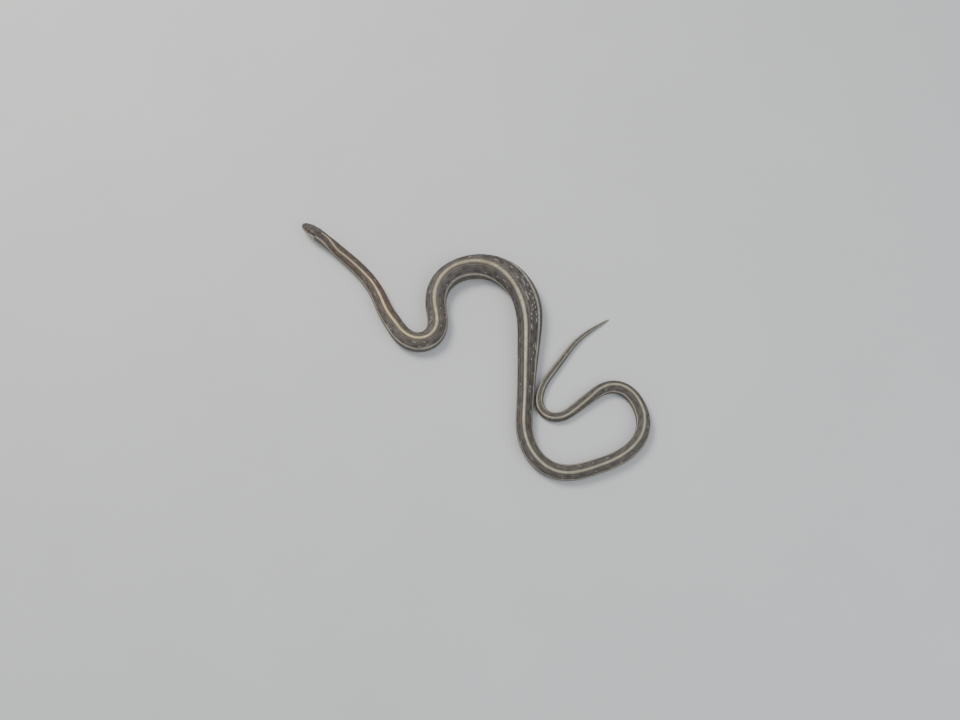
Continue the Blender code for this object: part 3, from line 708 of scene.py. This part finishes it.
def scutes(plate, first, last, side, shift):
    """What make_plates needs for scutes between two lengths: whole ones, or one side of each pair."""
    numbers = np.arange(np.ceil(np.interp(first, COUNT_S, COUNT)), np.interp(last, COUNT_S, COUNT)) + shift
    root = ring_place(numbers)
    root = root[root + SCUTE_LENGTH * curve(PITCH, root) < LENGTH + 0.3]
    length = SCUTE_LENGTH * curve(PITCH, root)
    if side == 0:
        length[-1] *= VENT_SCUTE
    s = root[:, None] + length[:, None] * plate.along
    beside = (plate.across if side == 0 else 0.5 * side + 0.53 * plate.across) + np.zeros_like(s)
    edge = edge_share(s) - SHARE_MARGIN
    share = 1 - np.abs(beside) * (1 - edge)
    angle = np.pi + np.sign(beside) * (np.pi - angle_of_share(s, share)) + roll(s)
    height = -0.07 + 0.26 * plate.along - 0.11 * ramp(np.abs(beside), 0.82, 0.18) - 0.12 * plate.under
    out = relief(s) * height - coat(s, COAT)
    colours = scute_colours(s, share, beside, plate.t, len(root))
    return s, angle, out, colours, strip_u(root, first, last + 3.0), np.full(len(root), 0.5 + 0.3 * side)


def join_scutes(name, plate, parts):
    return make_plates(name, plate, *(np.concatenate(column) for column in zip(*parts)))


# ---- The head's shields, mouth and eyes ----
# How far the shields stand up, how far they stop short of their outlines, and how deep the forms go
SHIELD_RAISE = 0.17
SHIELD_INSET = 0.035
MOUTH_DEPTH = 0.22
SOCKET_RADIUS = 1.26
SOCKET_DEPTH = 0.95
BROW_RADIUS = 1.70
NOSTRIL_DEPTH = 0.50
# How far round its outline a shield is looked for
SHIELD_MARGIN = 0.4


def polygon_depth(first, second, outline):
    """How far inside the outline each point lies, negative outside."""
    corners = np.array(outline, dtype=float)
    nearest = np.full(first.shape, 1e9)
    inside = np.zeros(first.shape, dtype=bool)
    for (ax, ay), (bx, by) in zip(corners, np.roll(corners, -1, axis=0)):
        dx, dy = bx - ax, by - ay
        t = np.clip(((first - ax) * dx + (second - ay) * dy) / (dx * dx + dy * dy), 0, 1)
        nearest = np.minimum(nearest, np.hypot(first - ax - t * dx, second - ay - t * dy))
        crosses = (ay > second) != (by > second)
        inside ^= crosses & (first < ax + (second - ay) * dx / np.where(dy == 0, 1e-9, dy))
    return np.where(inside, nearest, -nearest)


def shield_list():
    """Every shield as its outline, the view it is drawn in and its kind."""
    made = [(ROSTRAL, "front", "rostral"), (MENTAL, "front", "chin"), (FRONTAL, "top", "crown")]
    made += [([CROWN[corner] for corner in names.split()], "top", "crown") for names in CROWN_SHIELDS]
    made += [(outline, "side", "cheek") for outline in CHEEK_SHIELDS]
    made += [(outline, "under", "chin") for outline in CHIN_SHIELDS]
    for kind, ends, low, high in (
        ("lip", UPPER_LIP_ENDS, MOUTH_LINE, LIP_TOP), ("lower_lip", LOWER_LIP_ENDS, LIP_FOOT, MOUTH_LINE),
    ):
        for front, back in zip(ends, ends[1:]):
            foot = [(u, float(curve(low, u))) for u in (front, back)]
            top = [(u, float(curve(high, u))) for u in (back, front)]
            made.append((foot + top, "side", kind))
    return made


# Points of the skin in a ring of the head and of the body, and the distances between rings
AROUND_HEAD = 300
AROUND_BODY = 60
HEAD_RING = 0.088
HEAD_DENSE_END = 16.0
NECK_RING = 0.35
NECK_DENSE_END = 22.0
BODY_RING = 2.2
# Strips in which the body lies on the unwrap
BODY_STRIPS = 4


def head_rings():
    """Lengths at which the skin of the head has its rings, evenly spaced over its surface."""
    fine = np.linspace(0, HEAD_DENSE_END, 6401)
    half = section_at(fine)[:, 0]
    run = running(np.hypot(np.diff(fine), np.diff(half)))
    wanted = np.linspace(0, run[-1], int(run[-1] / HEAD_RING))[1:]
    dense = np.interp(wanted, run, fine)
    return np.concatenate([dense, np.arange(HEAD_DENSE_END + NECK_RING, NECK_DENSE_END, NECK_RING)])


def ring_angles(s, around):
    """Angles evenly spaced over the body's arc, all the way round."""
    share = np.linspace(-1, 1, around + 1)[:-1][None, :]
    fine = np.linspace(0, np.pi, 721)
    angles = []
    for length in s:
        side, height, _, _ = section_point(section_at(np.full(fine.shape, length)), fine)
        run = running(np.hypot(np.diff(side), np.diff(height)))
        angles.append(np.sign(share[0]) * np.interp(np.abs(share[0]), run / run[-1], fine))
    return np.array(angles)


HEAD_WAY = np.radians(FIRST_HEADING)
HEAD_TURN = np.radians(HEAD_ROLL)


def head_local(points):
    """Back from the snout, to the left and up from the chin, of points near the head."""
    x, y = points[..., 0] - SNOUT[0], points[..., 1] - SNOUT[1]
    left = x * np.sin(HEAD_WAY) - y * np.cos(HEAD_WAY)
    return x * np.cos(HEAD_WAY) + y * np.sin(HEAD_WAY), *rolled(left, points[..., 2] - HEAD_LIFT, -HEAD_TURN)


def head_point(back, left, up):
    left, up = rolled(left, up, HEAD_TURN)
    return Vector((SNOUT[0] + back * np.cos(HEAD_WAY) + left * np.sin(HEAD_WAY),
                   SNOUT[1] + back * np.sin(HEAD_WAY) - left * np.cos(HEAD_WAY), HEAD_LIFT + up))


def head_direction(back, left, up):
    return head_point(back, left, up) - head_point(0, 0, 0)


def from_side(head, back, up, side):
    """Where a place of the head's side view lies on its plain surface, and the way out from there."""
    return head.ray_cast(head_point(back, side * 30, up), head_direction(0, -side, 0))[:2]


def from_front(head, across, up):
    return head.ray_cast(head_point(-30, across, up), head_direction(1, 0, 0))[0]


def nearest_distance(points, route):
    """Distance from each point to a line of close points."""
    best = np.full(len(points), 1e9)
    for place_on in route:
        best = np.minimum(best, np.einsum("ij,ij->i", points - place_on, points - place_on))
    return np.sqrt(best)


def head_relief(points, normals, head):
    """Distance that each point of the head's skin moves out, and the masks that colour it."""
    back, left, up = head_local(points)
    facing = np.stack(head_local(normals + np.array(head_point(0.0, 0.0, 0.0))), -1)
    deepest = np.full(len(points), -1.0)
    kinds = ("rostral", "lip", "lower_lip", "cheek", "seam", "hole", "rim")
    masks = {kind: np.zeros(len(points)) for kind in kinds}
    views = {
        "top": (back, np.abs(left), facing[:, 2] > 0.30),
        "side": (back, up, np.abs(facing[:, 1]) > 0.25),
        "front": (left, up, (facing[:, 0] < -0.35) & (back < 2)),
        "under": (back, np.abs(left), facing[:, 2] < -0.45),
    }
    for outline, view, kind in shield_list():
        first, second, seen = views[view]
        if outline is FRONTAL:
            second = left
        low, high = np.min(outline, axis=0) - SHIELD_MARGIN, np.max(outline, axis=0) + SHIELD_MARGIN
        near = seen & (first > low[0]) & (first < high[0]) & (second > low[1]) & (second < high[1])
        depth = np.full(len(points), -1.0)
        depth[near] = polygon_depth(first[near], second[near], outline)
        deepest = np.maximum(deepest, depth)
        if kind in masks:
            masks[kind] = np.maximum(masks[kind], ramp(depth, -0.10, 0.12))
        if kind in ("lip", "lower_lip"):
            masks["seam"] = np.maximum(masks["seam"], bell(depth, 0, 0.13) * near)
    inside = deepest - SHIELD_INSET
    masks["gap"] = 1 - ramp(inside, -0.02, 0.16)
    raised = SHIELD_RAISE * smoothstep(inside / 0.20) + 0.05 * smoothstep(inside / 0.9)

    route = [from_front(head, x, float(curve(MOUTH_LINE, 0))) for x in np.linspace(-1.1, 1.1, 16)]
    for side in (-1, 1):
        back_to = np.linspace(0.9, 15.2, 120)
        route += [from_side(head, u, float(curve(MOUTH_LINE, u)), side)[0] for u in back_to]
    to_mouth = nearest_distance(points, np.array([list(p) for p in route if p is not None]))
    masks["mouth"] = bell(to_mouth, 0, 0.14)
    below = smoothstep((curve(MOUTH_LINE, back) - up) / 0.15 + 0.5)
    raised = raised - MOUTH_DEPTH * bell(to_mouth, 0, 0.12) - 0.10 * below * np.exp(-to_mouth / 0.9)

    for side in (-1, 1):
        away = np.linalg.norm(points - np.array(from_side(head, *EYE_AT, side)[0]), axis=1)
        raised = np.where(away < 1.60, raised * ramp(away, 1.40, 0.2), raised)
        raised = raised - SOCKET_DEPTH * (1 - ramp(away, SOCKET_RADIUS, 0.24))
        above = ramp(up, EYE_AT[1], 1.2)
        raised = raised + (0.05 + 0.12 * above) * bell(away, BROW_RADIUS, 0.20)
        # The ring of skin just round the eye, which the colours darken as painted shade
        masks["rim"] = np.maximum(masks["rim"], bell(away, 1.66, 0.22))
        away = np.linalg.norm(points - np.array(from_side(head, *NOSTRIL_AT, side)[0]), axis=1)
        raised = raised - NOSTRIL_DEPTH * bell(away, 0, 0.27) + 0.05 * bell(away, 0.48, 0.14)
        masks["hole"] = np.maximum(masks["hole"], bell(away, 0, 0.30))
    return raised, masks


CROWN_COLOUR = srgb(84, 75, 70)
CROWN_PALE = srgb(100, 89, 81)
LIP_COLOUR = srgb(172, 160, 146)
CHIN_COLOUR = srgb(186, 180, 164)
# Dark seams between the lip scales, and also painted shade in the mouth's slit and in the nostrils
SEAM_AND_SHADE_COLOUR = srgb(38, 33, 30)
NAPE_DARK = srgb(40, 35, 33)
PARIETAL_SPOT = srgb(206, 188, 130)


def head_colours(s, share, points, masks):
    """The colours of the head's skin, which run into the body's own markings behind it."""
    back, left, up = head_local(points)
    mottle = 0.5 + 0.5 * np.sin(back * 2.1 + 1.3 * np.sin(left * 1.7)) * np.sin(left * 2.6 + up)
    colour = blend(CROWN_COLOUR, CROWN_PALE, 0.5 * mottle)
    lower = ramp(curve(MOUTH_LINE, back) - 0.1, up, 0.5)
    colour = blend(colour, CHIN_COLOUR, lower)
    # The upper lip is pale, and its back scales darken towards the nape
    colour = blend(colour, LIP_COLOUR, 0.92 * masks["lip"] * (1 - 0.35 * ramp(back, 12.5, 3)))
    colour = blend(colour, LIP_COLOUR * 0.8, 0.55 * masks["rostral"])
    colour = blend(colour, CHIN_COLOUR * 0.92, masks["lower_lip"])
    around_eye = bell(back, EYE_AT[0], 2.7) * masks["cheek"]
    colour = blend(colour, LIP_COLOUR * 0.72, 0.55 * around_eye)
    behind_eye = bell(up, 5, 0.7) * ramp(back, 9.3, 1)
    colour = blend(colour, NAPE_DARK, 0.55 * behind_eye * (1 - masks["lip"]))
    for side in (-1, 1):
        away = np.hypot((back - 12.1) / 0.42, (left - side * 0.36) / 0.16)
        colour = blend(colour, PARIETAL_SPOT, 0.6 * (1 - ramp(away, 0.7, 0.6)) * (up > 4))
    colour = blend(colour, colour * 0.55, masks["gap"] * (1 - 0.6 * lower) * (1 - masks["seam"]))
    colour = blend(colour, SEAM_AND_SHADE_COLOUR, 0.85 * masks["seam"] * (1 - lower * 0.75))
    # Painted shade in the slit of the mouth and in the nostrils
    colour = blend(colour, SEAM_AND_SHADE_COLOUR, np.maximum(masks["mouth"], masks["hole"]))
    # Painted shade in the crease round each eye
    colour = blend(colour, colour * 0.6, 0.6 * masks["rim"])
    return blend(colour, marking(s, share), ramp(s, 13.8, 3.6))


def make_skin():
    """The one skin, from the tip of the snout to the tip of the tail, with the head far denser."""
    front = head_rings()
    rear = np.arange(NECK_DENSE_END, LENGTH, BODY_RING)
    rear = np.concatenate([rear[:-1], np.linspace(rear[-1], LENGTH - 0.15, 5)])
    front_angles, rear_angles = ring_angles(front, AROUND_HEAD), ring_angles(rear, AROUND_BODY)
    plain, normals = (part.reshape(-1, 3) for part in surface(front[:, None], front_angles))
    head_quads = tube_faces(len(front), AROUND_HEAD, 0)
    head = BVHTree.FromPolygons([Vector(p) for p in plain], head_quads.tolist())

    front_s, rear_s = np.repeat(front, AROUND_HEAD), np.repeat(rear, AROUND_BODY)
    raised, masks = head_relief(plain, normals, head)
    raised = raised * (1 - ramp(front_s, HEAD_DENSE_END, 1.6)) - coat(front_s, SKIN_DEPTH)
    front_share = share_of_angle(front_s, front_angles.ravel() - roll(front_s))
    front_colours = head_colours(front_s, front_share, plain, masks)

    rear_skin, _ = surface(rear_s, rear_angles.ravel(), -coat(rear_s, SKIN_DEPTH))
    rear_share = share_of_angle(rear_s, rear_angles.ravel() - roll(rear_s))
    bare = bell(rear_s, *BARE_AT) * ramp(rear_share, 0.12, 0.1) * (1 - ramp(rear_share, 0.42, 0.08))
    rear_colours = blend(marking(rear_s, rear_share) * 0.55, BARE_SKIN, 0.5 * bare)

    snout, _ = surface(np.array([0.0]), np.array([0.0]))
    tail_tip = place(np.array([LENGTH]), np.array([0.0]), np.array([0.30]))
    points = np.concatenate([plain + normals * raised[:, None], rear_skin, snout, tail_tip])
    colours = np.concatenate([front_colours, rear_colours, front_colours[:1], rear_colours[-1:]])
    base, snout_index = len(plain), len(points) - 2
    join_quads, join_triangles = join_faces(base - AROUND_HEAD, base)
    quads = np.concatenate([head_quads, tube_faces(len(rear), AROUND_BODY, base), join_quads])
    triangles = np.concatenate([
        join_triangles, fan(snout_index, np.arange(AROUND_HEAD))[:, [0, 2, 1]],
        fan(snout_index + 1, np.arange(snout_index - AROUND_BODY, snout_index)),
    ])
    made = make_object("skin", points, quads, triangles, colours, np.zeros((quads.size + triangles.size, 2)))
    unwrap_skin(made.data, front, rear)
    return made, head


def tube_faces(rings, around, base):
    """Quads between closed rings of points."""
    ring, step = np.meshgrid(np.arange(rings - 1), np.arange(around), indexing="ij")
    here = (base + ring * around + step).ravel()
    beside = (base + ring * around + (step + 1) % around).ravel()
    return np.stack([here, beside, beside + around, here + around], axis=1)


def fan(middle, ring):
    """Triangles from one point to a closed ring of points."""
    return np.stack([np.full(len(ring), middle), ring, np.roll(ring, -1)], axis=1)


def join_faces(front, back):
    """Faces between the last dense ring of the neck and the first ring of the body."""
    step = AROUND_HEAD // AROUND_BODY
    quads, triangles = [], []
    for i in range(AROUND_BODY):
        a = [front + (i * step + k) % AROUND_HEAD for k in range(step + 1)]
        b, c = back + i, back + (i + 1) % AROUND_BODY
        triangles += [(a[0], a[1], b), (a[1], a[2], b), (a[3], a[4], c), (a[4], a[5], c)]
        quads.append((a[2], a[3], c, b))
    return np.array(quads), np.array(triangles)


def unwrap_skin(data, front, rear):
    """The skin's own unwrap: the head's strip fills the lower half, and the body lies in strips above."""
    corners, totals = take(data.loops, "vertex_index"), take(data.polygons, "loop_total")
    s = np.concatenate([np.repeat(front, AROUND_HEAD), np.repeat(rear, AROUND_BODY), [0, LENGTH]])
    turn = np.concatenate([
        np.tile(np.arange(AROUND_HEAD) / AROUND_HEAD, len(front)),
        np.tile(np.arange(AROUND_BODY) / AROUND_BODY, len(rear)), [0.5, 0.5],
    ])
    face = np.repeat(np.arange(len(totals)), totals)
    corner_turn, corner_s = turn[corners], s[corners]
    # A face over the belly's middle goes on past a whole turn, instead of back across the unwrap
    highest = np.zeros(len(totals))
    np.maximum.at(highest, face, np.where(corners < len(s) - 2, corner_turn, 0))
    corner_turn = np.where((corner_turn < 0.2) & (highest[face] > 0.8), corner_turn + 1, corner_turn)
    middle = np.zeros(len(totals))
    np.add.at(middle, face, corner_s)
    middle = (middle / totals)[face]
    body_length = (LENGTH - NECK_DENSE_END) / BODY_STRIPS
    strip = np.clip(((middle - NECK_DENSE_END) / body_length).astype(int), 0, BODY_STRIPS - 1)
    head_u = 0.01 + 0.97 * corner_turn
    head_v = 0.01 + 0.47 * corner_s / NECK_DENSE_END
    body_u = 0.01 + 0.97 * (corner_s - NECK_DENSE_END - strip * body_length) / (body_length + BODY_RING)
    body_v = 0.51 + 0.12 * strip + 0.11 * corner_turn
    on_head = middle < NECK_DENSE_END
    uv = np.stack([np.where(on_head, head_u, body_u), np.where(on_head, head_v, body_v)], axis=1)
    put(data.uv_layers["OFBake"].uv, "vector", uv)


SMOOTH_SCALE = Plate(
    across=(-1, -0.66, -0.33, 0, 0.33, 0.66, 1), rows=7,
    widths={0: 0.60, 0.35: 0.98, 0.6: 1, 1: 0.66}, round_off=0.42, round_power=2,
)
# The throat's scales: where their rows start and end, and how far apart they are along and across
THROAT_START = 4.6
THROAT_END = 16.2
THROAT_ALONG = 0.95
THROAT_ACROSS = 0.98


def throat_scales():
    """Small smooth scales between the chin's shields, the lower lips and the first scute of the belly."""
    plate = SMOOTH_SCALE
    back, across = np.array([
        (THROAT_START + number * THROAT_ALONG, (column + (0.5 if number % 2 else 0)) * THROAT_ACROSS)
        for number in range(13) for column in range(-7, 8)
    ]).T
    keep = (np.abs(across) < section_at(back)[:, 0] * 0.80) & (back < THROAT_END)
    for outline in CHIN_SHIELDS:
        keep &= polygon_depth(back + 0.5, np.abs(across), outline) < -0.12
    keep &= (back > 6) | (np.abs(across) > 1.9)
    back, across = back[keep], across[keep]
    s = back[:, None] + 1.55 * plate.along
    half, lower = section_at(s)[..., 0], section_at(s)[..., 5]
    sideways = across[:, None] + 0.60 * plate.across
    ratio = np.clip(np.abs(sideways) / half, 0, 0.98) ** (lower / 2)
    angle = np.pi + np.sign(sideways) * np.arcsin(ratio)
    height = -0.04 + 0.13 * plate.along - 0.05 * plate.v ** 2 - 0.08 * plate.under
    # Painted shade towards each throat scale's sides, where its rim turns down
    painted_rim_shade = 1 - 0.12 * ramp(np.abs(plate.v), 0.7, 0.3)
    colours = CHIN_COLOUR * rng.uniform(0.92, 1.06, (len(back), 1, 1)) * painted_rim_shade[:, None]
    root_v = 0.5 + 0.46 * across / 5.2
    return make_plates("scales_throat", plate, s, angle, height - coat(s, COAT), colours,
                       strip_u(back, 4, 18), root_v)


# ---- Eyes ----
EYE_RINGS = 54
AROUND_EYE = 72
IRIS_COLOUR = srgb(62, 40, 24)
IRIS_STREAK = srgb(132, 92, 50)
IRIS_RING = srgb(196, 158, 92)
IRIS_EDGE = srgb(24, 16, 12)
PUPIL_COLOUR = srgb(5, 4, 4)
# The pupil's radius as a share of the eye's
PUPIL_RADIUS = 0.405


def make_eye(name, head, side):
    """An oblate ball with a dark copper iris and a round pupil."""
    point, normal = from_side(head, *EYE_AT, side)
    polar, turn = np.meshgrid(np.linspace(0, np.pi, EYE_RINGS + 2)[1:-1],
                              np.arange(AROUND_EYE) * 2.0 * np.pi / AROUND_EYE, indexing="ij")
    ball = np.stack([EYE_RADIUS * np.sin(polar) * np.cos(turn), EYE_RADIUS * np.sin(polar) * np.sin(turn),
                     EYE_DEPTH * np.cos(polar)], -1).reshape(-1, 3)
    ball = np.concatenate([ball, [[0, 0, EYE_DEPTH], [0, 0, -EYE_DEPTH]]])
    facing = np.array(normal.to_track_quat("Z", "Y").to_matrix())
    points = ball @ facing.T + np.array(point + normal * (EYE_PROUD - EYE_DEPTH))
    front = ball[:, 2] > 0
    radius = np.hypot(ball[:, 0], ball[:, 1]) / EYE_RADIUS
    angle = np.arctan2(ball[:, 1], ball[:, 0])
    streak = 0.5 + 0.5 * np.sin(angle * 37 + 3 * np.sin(angle * 5))
    colours = blend(IRIS_COLOUR, IRIS_STREAK, 0.45 * streak)
    colours = blend(colours, IRIS_RING, 0.8 * bell(radius, 0.47, 0.035))
    colours = blend(colours, IRIS_EDGE, ramp(radius, 0.74, 0.16))
    colours = blend(colours, PUPIL_COLOUR, (1 - ramp(radius, PUPIL_RADIUS, 0.03)) * front)
    top = EYE_RINGS * AROUND_EYE
    quads = tube_faces(EYE_RINGS, AROUND_EYE, 0)[:, ::-1]
    triangles = np.concatenate([
        fan(top, np.arange(AROUND_EYE)), fan(top + 1, np.arange(top - AROUND_EYE, top))[:, [0, 2, 1]],
    ])
    corners = np.concatenate([quads.ravel(), triangles.ravel()])
    uv = np.stack([np.where(front, 0.25, 0.75), np.full(len(ball), 0.5)], axis=1)
    uv = uv + ball[:, :2] / EYE_RADIUS * 0.23
    return make_object(name, points, quads, triangles, colours, uv[corners])


# ---- Materials ----
FLOOR_COLOURS = ((0.74, 0.73, 0.71, 1.0), (0.82, 0.81, 0.79, 1.0))


def node(tree, kind, **values):
    made = tree.nodes.new(kind)
    for name, value in values.items():
        if hasattr(made, name):
            setattr(made, name, value)
        else:
            made.inputs[name.replace("_", " ")].default_value = value
    return made


def link(tree, giver, output, taker, socket):
    tree.links.new(giver.outputs[output], taker.inputs[socket])


def new_material(name, **values):
    """A material, its tree and its shader, with the shader's uniform values set."""
    made = bpy.data.materials.new(name)
    made.use_nodes = True
    shader = made.node_tree.nodes["Principled BSDF"]
    for socket, value in values.items():
        shader.inputs[socket.replace("_", " ")].default_value = value
    return made, made.node_tree, shader


def noise(tree, scale, detail, roughness=0.5):
    """Noise that is fixed to the model."""
    where = node(tree, "ShaderNodeTexCoord")
    made = node(tree, "ShaderNodeTexNoise", Scale=scale, Detail=detail, Roughness=roughness)
    link(tree, where, "Object", made, "Vector")
    return made


def spread_out(tree, source, low, high, least, most):
    """Noise between low and high, carried to run from least to most."""
    made = node(tree, "ShaderNodeMapRange", From_Min=low, From_Max=high, To_Min=least, To_Max=most)
    link(tree, source, "Fac", made, "Value")
    return made


def paint(tree, shader, gain, output):
    """Colours the shader with the mesh's own marking times a gain."""
    own = node(tree, "ShaderNodeAttribute", attribute_name="marking")
    painted = node(tree, "ShaderNodeVectorMath", operation="SCALE")
    link(tree, own, "Color", painted, 0)
    link(tree, gain, output, painted, "Scale")
    link(tree, painted, "Vector", shader, "Base Color")


def living_material(name, roughness, specular, gloss, fine, bump):
    """The markings, broken up by fine and broad mottling, under a thin horny gloss."""
    made, tree, shader = new_material(
        name, Specular_IOR_Level=specular, Coat_Weight=gloss, Coat_Roughness=0.22)
    small, broad = noise(tree, fine, 4.0, 0.6), noise(tree, 190.0, 3.0, 0.55)
    gain = node(tree, "ShaderNodeMath", operation="MULTIPLY")
    link(tree, spread_out(tree, small, 0.25, 0.75, 0.82, 1.18), "Result", gain, 0)
    link(tree, spread_out(tree, broad, 0.3, 0.7, 0.86, 1.12), "Result", gain, 1)
    paint(tree, shader, gain, "Value")
    rough = spread_out(tree, small, 0.25, 0.75, roughness - 0.07, roughness + 0.09)
    link(tree, rough, "Result", shader, "Roughness")
    raised = node(tree, "ShaderNodeBump", Strength=bump, Distance=0.00006)
    link(tree, small, "Fac", raised, "Height")
    link(tree, raised, "Normal", shader, "Normal")
    return made


def eye_material():
    """The ball's own colours under a clear, wet-looking scale."""
    made, tree, shader = new_material(
        "eye_under_its_clear_scale", Roughness=0.16, Coat_Weight=1.0, Coat_Roughness=0.03)
    paint(tree, shader, spread_out(tree, noise(tree, 5200.0, 3.0), 0.3, 0.7, 0.7, 1.3), "Result")
    return made


def floor_material():
    made, tree, shader = new_material("pale_floor", Roughness=0.85, Specular_IOR_Level=0.25)
    shades = node(tree, "ShaderNodeValToRGB")
    for stop, colour in zip(shades.color_ramp.elements, FLOOR_COLOURS):
        stop.color = colour
    link(tree, noise(tree, 9.0, 6.0, 0.6), "Fac", shades, "Fac")
    link(tree, shades, "Color", shader, "Base Color")
    return made


# ---- Putting it together ----
FLESH = [name for name in frame["nodes"] if not name.startswith("eye_")]


def dress():
    scale_finish = living_material("keeled_scales", 0.50, 0.40, 0.08, 3400.0, 0.30)
    scute_finish = living_material("belly_scutes_horn", 0.38, 0.5, 0.20, 1800.0, 0.15)
    skin, head = make_skin()
    pieces = [(skin, living_material("skin_between_scales", 0.46, 0.42, 0.10, 2600.0, 0.25), "body")]
    scales = body_scales()
    for name, (first, last) in SCALE_PIECES.items():
        chosen = scales[(scales[:, 1] >= first) & (scales[:, 1] < last)]
        pieces.append((make_scales(name, chosen, first, last), scale_finish, "body"))
    pieces.append((throat_scales(), scute_finish, "head"))
    for name, plate, first, last, sides in (
        ("scutes_belly", SCUTE, SCUTE_START, VENT, ((0, 0.0),)),
        ("scutes_tail", PAIR, VENT, LENGTH, ((1, 0.0), (-1, 0.5))),
    ):
        parts = [scutes(plate, first, last, side, shift) for side, shift in sides]
        pieces.append((join_scutes(name, plate, parts), scute_finish, "body"))
    for made, finish, slot in pieces:
        made.data.materials.append(finish)
        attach(made, "root")
        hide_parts(*FLESH)
    eye_finish = eye_material()
    for name, side in (("left", 1.0), ("right", -1.0)):
        eye = make_eye("eyeball_" + name, head, side)
        eye.data.materials.append(eye_finish)
        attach(eye, "root")
        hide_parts("eye_" + name)


# Lights, in metres and watts: place, size, power and colour
LIGHTS = {
    "key": ((-0.55, 0.55, 0.95), 0.55, 9.0, (1.0, 0.97, 0.92)),
    "fill": ((0.75, -0.45, 0.80), 0.9, 3.5, (0.90, 0.95, 1.0)),
}
# The photo's camera: the point of the floor at the middle of its picture and the distance from it, in
# metres, how steeply it looks down, in degrees, and its lens for a sensor 36 mm wide
CAMERA_AIM = (0.00616, -0.00778, 0.0)
CAMERA_DISTANCE = 0.9198
CAMERA_ELEVATION = 68.0
CAMERA_LENS = 49.99


def make_stage():
    """A plain pale floor, a soft overhead light with a weaker one beside it, and the photo's camera."""
    bpy.ops.mesh.primitive_plane_add(size=6.0, location=(0.0, 0.0, -0.00002))
    floor = bpy.context.object
    floor.name = "floor"
    floor.data.materials.append(floor_material())

    scene = bpy.context.scene
    scene.world = bpy.data.worlds.new("soft_room")
    scene.world.use_nodes = True
    background = scene.world.node_tree.nodes["Background"]
    background.inputs["Color"].default_value = (0.80, 0.86, 0.95, 1.0)
    background.inputs["Strength"].default_value = 0.55
    for name, (place_at, size, energy, colour) in LIGHTS.items():
        light = bpy.data.lights.new(name, "AREA")
        light.shape, light.size, light.energy, light.color = "DISK", size, energy, colour
        lamp = bpy.data.objects.new(name, light)
        lamp.location = place_at
        lamp.rotation_euler = (-Vector(place_at)).to_track_quat("-Z", "Y").to_euler()
        scene.collection.objects.link(lamp)

    camera = bpy.data.objects.new("camera", bpy.data.cameras.new("camera"))
    camera.data.sensor_width = 36.0
    camera.data.lens = CAMERA_LENS
    camera.data.clip_start = 0.01
    elevation = np.radians(CAMERA_ELEVATION)
    back = Vector((0.0, -np.cos(elevation), np.sin(elevation)))
    camera.location = Vector(CAMERA_AIM) + back * CAMERA_DISTANCE
    camera.rotation_euler = (-back).to_track_quat("-Z", "Y").to_euler()
    scene.collection.objects.link(camera)
    scene.camera = camera


def clear_old():
    """Takes away what the start-up file holds, and nothing of the frame."""
    kept = set(frame["nodes"].values()) | set(frame["bodies"].values())
    for old in list(bpy.data.objects):
        if old not in kept:
            bpy.data.objects.remove(old, do_unlink=True)


clear_old()
dress()
make_stage()
bpy.context.view_layer.update()
